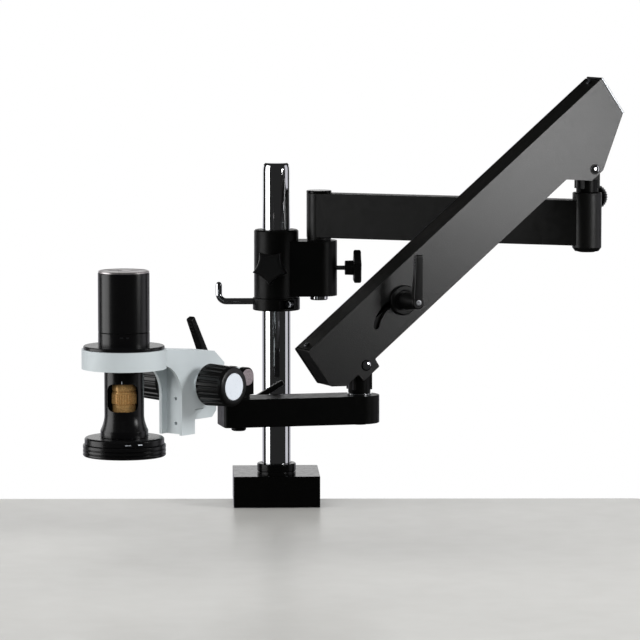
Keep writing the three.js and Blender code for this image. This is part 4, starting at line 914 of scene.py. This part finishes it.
def build_post():
    """Forked swivel post, the tilt axle and its clamp lever."""
    body, z = "swivel_post", TILT_Z
    floor, cheek_in, cheek_out, radius = 159.5, 5.3, 12, 10.5
    top = high("tip_arm")
    outline = [(-radius, floor - 3), (radius, floor - 3)] + arc_points(0, z, radius, 0, 180, 32)
    solid = fuse(
        disc(12, top + 0.3, floor, 0, 96), disc(9, low("tip_arm") + 2, top + 2, 0, 72),
        plate(outline, -cheek_out, -cheek_in), plate(outline, cheek_in, cheek_out),
    )
    solid = cut(solid, across(0, z, -20, 20, PIN_HOLE, 0))
    foot = low("mount_post")
    nut = turned([(6.4, foot), (7.9, foot + 1.3), (7.9, foot + 6)], 48)
    piece("fork_post", together(softened(solid, 0.45), nut), HEAD, body, "cast_black", "mount_post")
    face = cheek_out + 0.3
    end = turned([(8.8, face), (8.8, face + 1), (8.3, face + 1.4)], 72)
    axle_mesh = together(aimed(end, FRONT, (0, 0, z)), across(0, z, -cheek_out - 1, 26, PIN))
    piece("tilt_axle", axle_mesh, HEAD, body, "speckled", "tilt_pin")
    lean = radians(26.5)
    z_axis = -level(tip - scope) * sin(lean) + Vector((0, 0, cos(lean)))
    place = axes(tilt, -axle("tilt_lever_spin"), z_axis) @ offset(face)
    lever, screw = clamp_lever(32.5, 70, 11.2, 8.2, 0, 9)
    lever_pieces("tilt_clamp_lever", lever, "tilt_lever_screw", screw, place, "tilt_clamp", "tilt_lever")


# ---------------------------------------------------------------- focusing rack

def gear_outline(teeth, module):
    """Outline of a small spur gear with straight flanks."""
    pitch = teeth * module / 2
    root, crest = pitch - 1.2, pitch + 0.75
    points = []
    for i in range(teeth):
        for radius, half in ((root, -0.3), (crest, -0.09), (crest, 0.09), (root, 0.3)):
            points.append(polar(radius, TAU * (i + half) / teeth))
    return points


def build_slide():
    """Fixed part of the focusing slide, with its toothed rack."""
    bottom, top = heights("focus_slide")
    half, z = 11.8, TILT_Z
    back, bar_front, foot_front, foot_top, tongue_half, cap = 131, 110.3, 92.7, 149, 5, 9.7
    outline = rounded([
        (foot_front, bottom), (back - 7, bottom), (back, bottom + 7), (back, top), (bar_front, top),
        (bar_front, foot_top), (foot_front, foot_top),
    ], 0.8)
    ear = [(back - 2, z - cap)] + arc_points(HEAD_REACH, z, cap, -90, 90, 24) + [(back - 2, z + cap)]
    body = fuse(plate(outline, -half, half), plate(ear, -tongue_half, tongue_half))
    body = cut(body, across(HEAD_REACH, z, -20, 20, PIN_HOLE, 0))
    piece("slide_block", softened(body, 0.6), RACK, "focus_base", "white_enamel", "focus_slide")
    low_z, high_z = heights("focus_rack")
    line, pitch, pinion_z, rack_back = 106.5, pi, pinion.z / MM, 110
    root, crest = line + 1.2, line - 0.8
    teeth = [(rack_back, low_z)]
    first = ceil((low_z - pinion_z) / pitch)
    last = floor((high_z - pinion_z) / pitch) - 1
    for i in range(first, last + 1):
        middle = pinion_z + (i + 0.5) * pitch
        teeth += [(root, middle - 0.95), (crest, middle - 0.3)]
        teeth += [(crest, middle + 0.3), (root, middle + 0.95)]
    teeth.append((rack_back, high_z))
    piece("toothed_rack", plate(teeth, -5.5, 5.5), RACK, "focus_base", "zinc", "focus_rack")


def build_carriage():
    """Cast carriage with the ring that holds the microscope, and its set screw."""
    ring_low, ring_high = 199.8, high("ring_carriage")
    inner_r, outer_r, half, cheek = 38.7, 43.6, 15.8, 3.5
    front, floor_x, web_back, bottom = 71.5, 79.5, 92, low("ring_carriage")
    hood_low, hood_back, roof, rear_z = 163, 139, 204.5, 195.5
    skirt_low, skirt_back = 150, 109.5
    arch = []
    for k in range(29):
        t = radians(90 - 90 * k / 28)
        arch.append((40 + 31.5 * cos(t), 165 + 35 * sin(t)))
    outline = [(39.5, ring_low + 0.1)] + arch + [
        (front, bottom), (web_back, bottom), (web_back, skirt_low), (skirt_back, skirt_low),
        (skirt_back, hood_low), (hood_back, hood_low), (hood_back, rear_z), (123, 208.9), (39.5, 217.1),
    ]
    hoop = ring(inner_r, outer_r, ring_low, ring_high, 0.0, 144)
    knob_x, knob_z = (pinion - scope).xy.length / MM, pinion.z / MM
    body = fuse(plate(outline, -half, half), hoop, across(knob_x, knob_z, -25.2, 25.2, 11, 0))
    core = half - cheek
    screw_place = offset(94, -8)
    screw_holes = [rod((floor_x - 2, 0, z), (floor_x + 11, 0, z), 1.9, None, 0) for z in (161, 135)]
    body = cut(
        body,
        block(30, floor_x, -core, core, 100, ring_low - 0.3), block(web_back, 160, -core, core, 140, roof),
        disc(inner_r, ring_low - 8, ring_high + 10, 0, 144), across(knob_x, knob_z, -40, 40, 3.9, 0),
        *screw_holes, moved(disc(2.9, 206, 230, 0), screw_place),
    )
    piece("ring_casting", softened(body, 0.8, 3, 40), RACK, "carriage", "white_enamel", "ring_carriage")
    screw = moved(socket_screw(2.6, 206.3, 209.2, 1.3), screw_place)
    piece("carriage_set_screw", screw, RACK, "carriage", "zinc", "carriage_screw")


def build_focus_knobs():
    """Pinion shaft with a fluted, badged knob at each end."""
    place = RACK @ offset((pinion - scope).xy.length / MM, 0, pinion.z / MM)
    shaft = together(plate(gear_outline(10, 1), -4.6, 4.6), across(0, 0, -50, 50, 3.6))
    piece("pinion_axle", shaft, place, "focus_drive", "zinc", "pinion_shaft")
    start, end, radius = 25.6, 62, 22

    def ribs(share, relief):
        return 1 - relief * 0.055 * max(0, cos(TAU * share)) ** 0.7

    levels = [
        (start, radius - 5, 0), (start + 0.4, radius - 2.2, 0), (start + 2, radius - 0.4, 0),
        (start + 3, radius, 0), (start + 4.2, radius, 1), (end - 6.5, radius - 1.1, 1),
        (end - 5.6, radius - 1.15, 0),
        (end - 2.4, radius - 1.3, 0), (end - 0.8, radius - 2.1, 0), (end, radius - 4.2, 0), (end, 14.6, 0),
        (end - 1.6, 14.4, 0), (end - 1.6, 4, 0),
    ]
    badge = [(0, end - 1.3), (14.3, end - 1.3), (14.3, end - 0.5), (13.6, end + 0.15), (0, end + 0.3)]
    for name, towards in (("right", FRONT), ("left", REAR)):
        knob = aimed(together(ribbed(ribs, levels, 22, 12), disc(13, start - 0.2, start + 2, 0.6)), towards)
        piece("knob_" + name, knob, place, "focus_drive", "black_plastic", "focus_knob_" + name)
        cap = aimed(lathe(badge, 96, 0.3, closed=False), towards)
        piece("knob_badge_" + name, cap, place, "focus_drive", "cap_white", "knob_cap_" + name)


# ---------------------------------------------------------------- microscope

def on_scope(name, mesh, slot, *nodes):
    """A piece of the microscope itself."""
    piece(name, mesh, SCOPE, "microscope", slot, *nodes)


def build_camera():
    """Seat flange, and the camera body with its lid, ports and boards."""
    flange_low, top, base_high = 220.1, high("camera_top_cap"), high("scope_flange")
    bore, wall, port_gap = 20.7, 26.5, 0.3
    on_scope("seat_flange", lathe([
        (bore, 212), (38.3, 212), (38.3, flange_low), (41.75, flange_low), (41.75, flange_low + 2.6),
        (41.0, flange_low + 3.4), (wall + 0.2, flange_low + 3.4), (wall, flange_low + 3.6),
        (wall, base_high - 0.3), (wall - 0.4, base_high), (bore, base_high),
    ], 144, 0.25), "anodised_black", "scope_flange")
    shell_low, shell_high = heights("camera_shell")
    shell = ring(wall - 2.2, wall, shell_low, shell_high, 0.35, 144)
    on_scope("camera_body", shell, "anodised_black", "camera_shell")
    lid = turned([
        (24, shell_high - 2.7), (24, shell_high + 0.3), (26.2, shell_high + 0.3),
        (26.2, top - 0.5), (25.6, top), (24.2, top), (23.9, top - 0.35),
    ], 144, 0.2)
    ports = [(-9, 4, 15, 6), (11, 4, 9.5, 4), (0, -9, 12, 3)]
    tools = [prism(rounded(rectangle(x - w / 2, x + w / 2, y - d / 2, y + d / 2), 1.0, arc=4), 280, 310)
             for x, y, w, d in ports]
    on_scope("camera_lid", softened(cut(lid, *tools), 0.2, 2, 50), "silver_cap", "camera_top_cap")
    boards = [disc(23, 288, 289.6, 0.2), disc(23, 249, 250.6, 0.2), disc(3, 250, 289)]
    boards.append(block(-7, 7, -7, 7, 247, 250, 0.3))
    for x, y, w, d in ports:
        sides = x - w / 2 + port_gap, x + w / 2 - port_gap, y - d / 2 + port_gap, y + d / 2 - port_gap
        boards.append(block(*sides, 289, 297.2, 0.3))
    on_scope("camera_electronics", together(*boards), "circuit_board", "camera_board")


def build_barrel():
    """Lens barrel with its window, the optics inside and the brass zoom ring."""
    radius, bore, flare_radius, lens_bore = 20.4, 17.6, 24.6, 11.2
    bottom, top = heights("lens_barrel")
    flare_low, flare_high = 136, 152
    flare = []
    for i in range(17):
        share = i / 16
        size = radius + (flare_radius - radius) * (1 - share) ** 1.9
        flare.append((size, flare_low + (flare_high - flare_low) * share))
    groove = radius - 0.25
    profile = [
        (lens_bore, bottom), (flare_radius, bottom), *flare, (radius, 197), (groove, 197.4),
        (groove, 198.2), (radius, 198.6), (radius, top), (bore, top), (bore, bottom + 4),
        (lens_bore, bottom + 4),
    ]
    window = rounded(rectangle(-15.8, 15.8, 156.3, 185), 8, arc=10)
    tool = moved(bar(window, 6, 40), Matrix.Rotation(radians(-96), 4, "Z"))
    shell = cut(lathe(profile, 144, 0.2), tool)
    on_scope("lens_body", softened(shell, 0.45, 3, 45), "anodised_black", "lens_barrel")
    tube_low, tube_high = heights("objective_tube")
    on_scope("optic_tube", ring(7.6, 9.2, tube_low, tube_high, 0.2, 64), "black_plastic", "objective_tube")
    lens = [(0, tube_low + 1), (4, tube_low + 1.3), (7.3, tube_low + 2.4), (7.3, tube_low + 5.4),
            (0, tube_low + 5.4)]
    on_scope("objective_lens", lathe(lens, 64, 0.2, closed=False), "lens_glass", "front_lens")

    z0, z1 = heights("zoom_ring")
    shoulder_z = 177.3
    grips = [
        (z0, 9.9, 0), (z0 + 0.5, 10.8, 0), (z0 + 2.4, 11.9, 0), (162.2, 12.1, 0), (162.6, 11.3, 0),
        (163.3, 11.3, 0), (163.6, 12.7, 0), (164, 12.8, 1), (173.8, 12.8, 1), (174.3, 12.7, 0),
        (174.5, 12.5, 0), (175.6, 12.5, 0), (175.9, 11.2, 0), (176.9, 11.2, 0), (shoulder_z, 12.6, 0),
    ]
    for t in steps_of(12, 1, 8):
        grips.append((shoulder_z + (z1 - shoulder_z) * sin(t), 12.6 - 2.8 * (1 - cos(t)), 0))
    grips.append((z1, 9.8, 0))
    outer = ribbed(lambda share, relief: 1 - relief * (0.08 if share >= 0.5 else 0), grips, 30, 10)
    knurled = cut(outer, disc(9.6, z0 - 5, z1 + 5, 0))
    piece("zoom_collar", knurled, SCOPE, "zoom_control", "brass", "zoom_ring")


def build_light():
    """Ring light: cover, lock ring, board of lamps and frosted window."""
    bottom, top = heights("light_housing")
    on_scope("light_cover", lathe([
        (12.5, bottom), (41, bottom), (41, top - 1.6), (39.6, top - 0.2), (38.6, top), (26.5, top),
        (26, top - 0.3), (12.5, top - 0.3),
    ], 144, 0.3), "anodised_black", "light_housing")
    z, ring_high = heights("light_ring")
    r = 42.7
    inner, groove = r - 5, r - 1.2
    piece("light_lock_ring", lathe([
        (inner, z), (r - 1.0, z), (r, z + 1), (r, z + 3.0), (groove, z + 3.4), (groove, z + 4.0),
        (r, z + 4.4), (r, z + 7.0), (groove, z + 7.4), (groove, z + 8.0), (r, z + 8.4),
        (r, ring_high - 0.6), (r - 0.6, ring_high), (inner, ring_high),
    ], 144, 0.25), SCOPE, "light_lock", "anodised_black", "light_ring")
    lamps = 24
    leds = [ring(14, 37, 118.8, 121.2, 0.2)]
    for i in range(lamps):
        turn = Matrix.Rotation(TAU * i / lamps, 4, "Z")
        leds.append(moved(block(24.4, 27.6, -1.6, 1.6, 117.2, 119, 0.2), turn))
    on_scope("led_ring_board", together(*leds), "circuit_board", "led_board")
    window = ring(14, 37.4, *heights("light_diffuser"), 0.2)
    on_scope("frosted_window", window, "diffuser", "light_diffuser")


def tick(radius, angle, z, width, height):
    """Index tick on a round black part, a hair proud of it."""
    start, end = degrees(angle - width / 2 / radius), degrees(angle + width / 2 / radius)
    outline = arc_points(0, 0, radius + 0.04, start, end, 6)
    outline += arc_points(0, 0, radius - 0.4, end, start, 6)
    return prism(outline, z, z + height)


def build_marks():
    """Short plain index ticks."""
    facing = radians(-96)
    on_scope("zoom_index_mark", tick(20.4, facing, 185.4, 0.5, 3.2), "cap_white")
    base = [tick(26.5, facing + turn, 233.2, 3.4, 0.7) for turn in (0.02, 0.26)]
    on_scope("camera_base_marks", together(*base), "zinc")
    lock = [tick(41.0, radians(-66), 124.6, 4.6, 0.8), tick(41.0, radians(-84), 124.6, 5.6, 0.35)]
    on_scope("lock_marks", together(*lock), "cap_white")


# ---------------------------------------------------------------- stage, light and camera

def stage_object(name, mesh, material):
    """An object of the surroundings, which isn't part of the microscope."""
    mesh.materials.append(material)
    obj = placed(name, mesh)
    return obj


def build_table():
    """Pale table whose far edge the clamp grips."""
    edge_y, thickness, gap, corner = 0.0522, 0.0275, 0.0006, 0.012
    left, right, near = -0.75, 0.418, -1.05
    outline = rounded(rectangle(left, right, near, edge_y), corner, arc=6)
    table = stage_object("table", prism(outline, -thickness, -gap), MATERIALS["table_top"])
    table.rotation_euler.z = radians(-1.6)
    table.visible_glossy = False


def glow_card(name, y, half_width, z0, z1, color, strength):
    """Evenly lit upright card that only reflections see."""
    look = Look(name + "_light", (0, 0, 0), 1.0, specular=0.0)
    look.inputs["Emission Color"].default_value = (*color, 1)
    look.inputs["Emission Strength"].default_value = strength
    bm = bmesh.new()
    corners = rectangle(-half_width, half_width, z0, z1)
    bm.faces.new([bm.verts.new((x, y, z)) for x, z in corners])
    card = stage_object(name, baked(bm, name), look.material)
    card.visible_shadow = False
    card.visible_diffuse = False
    card.visible_camera = False


def softbox(name, place, target, size, radiance, color=(1, 1, 1), shine=True, fill=True):
    """Rectangular light of a given brightness, seen in reflections, by matt surfaces, or both."""
    data = bpy.data.lights.new(name, "AREA")
    data.shape = "RECTANGLE"
    data.size, data.size_y = size
    data.energy = radiance * pi * size[0] * size[1]
    data.color = color
    obj = placed(name, data)
    obj.location = place
    obj.rotation_euler = (Vector(target) - Vector(place)).to_track_quat("-Z", "Y").to_euler()
    obj.visible_camera = False
    obj.visible_glossy = shine
    obj.visible_diffuse = fill


def build_world():
    """Surroundings that are white to the camera and nearly dark to everything else."""
    world = bpy.data.worlds.new("studio")
    bpy.context.scene.world = world
    world.use_nodes = True
    tree = world.node_tree
    background = tree.nodes["Background"]
    background.inputs["Color"].default_value = (1, 1, 1, 1)
    seen = tree.nodes.new("ShaderNodeLightPath").outputs["Is Camera Ray"]
    strength = tree.nodes.new("ShaderNodeMapRange")
    strength.inputs["To Min"].default_value = 0.02
    strength.inputs["To Max"].default_value = 1.0
    tree.links.new(seen, strength.inputs["Value"])
    tree.links.new(strength.outputs["Result"], background.inputs["Strength"])


def build_studio():
    """Glowing cards behind the object and the lights round it."""
    glow_card("rear_glow_upper", 2.0, 2.4, 0.14, 0.95, (1, 1, 1), 1.0)
    glow_card("rear_glow_lower", 2.0, 2.4, -0.6, 0.14, (0.93, 0.91, 1.0), 0.5)
    softbox("left_box", (-1.6, -0.35, 0.5), (0, 0, 0.35), (1.2, 1.4), 2.4)
    softbox("right_strip", (1.7, 0.05, 0.5), (0, 0, 0.35), (0.9, 1.4), 0.6, (0.95, 0.94, 1.0))
    softbox("boom_box", (1.0, -0.76, 0.40), (0.25, -0.15, 0.33), (0.3, 0.3), 6.8, fill=False)
    softbox("right_key", (1.85, -0.95, 1.0), (0.15, -0.15, 0.35), (0.8, 0.75), 16.0, shine=False)
    softbox("top_box", (-0.6, 0.1, 2.3), (-0.2, -0.1, 0), (4.2, 3.2), 1.15, shine=False)
    softbox("front_fill", (-0.6, -3.2, 1.7), (0, -0.2, 0.25), (2.2, 1.8), 4.2, shine=False)


def build_camera_view():
    """Camera of the photograph's view."""
    data = bpy.data.cameras.new("camera")
    data.sensor_width = 36
    data.lens = 225
    data.clip_end = 50
    camera = placed("camera", data)
    camera.location = (-0.1074, -4.4840, 0.6530)
    camera.rotation_euler = (radians(84.36), 0, radians(-2))
    bpy.context.scene.camera = camera


build_clamp()
build_pole()
build_collar()
build_sleeve()
build_swing_arm()
build_brackets()
build_housing()
build_link()
build_tip_arm()
build_post()
build_slide()
build_carriage()
build_focus_knobs()
build_camera()
build_barrel()
build_light()
build_marks()
build_table()
build_world()
build_studio()
build_camera_view()
bpy.context.scene.view_settings.view_transform = "Standard"
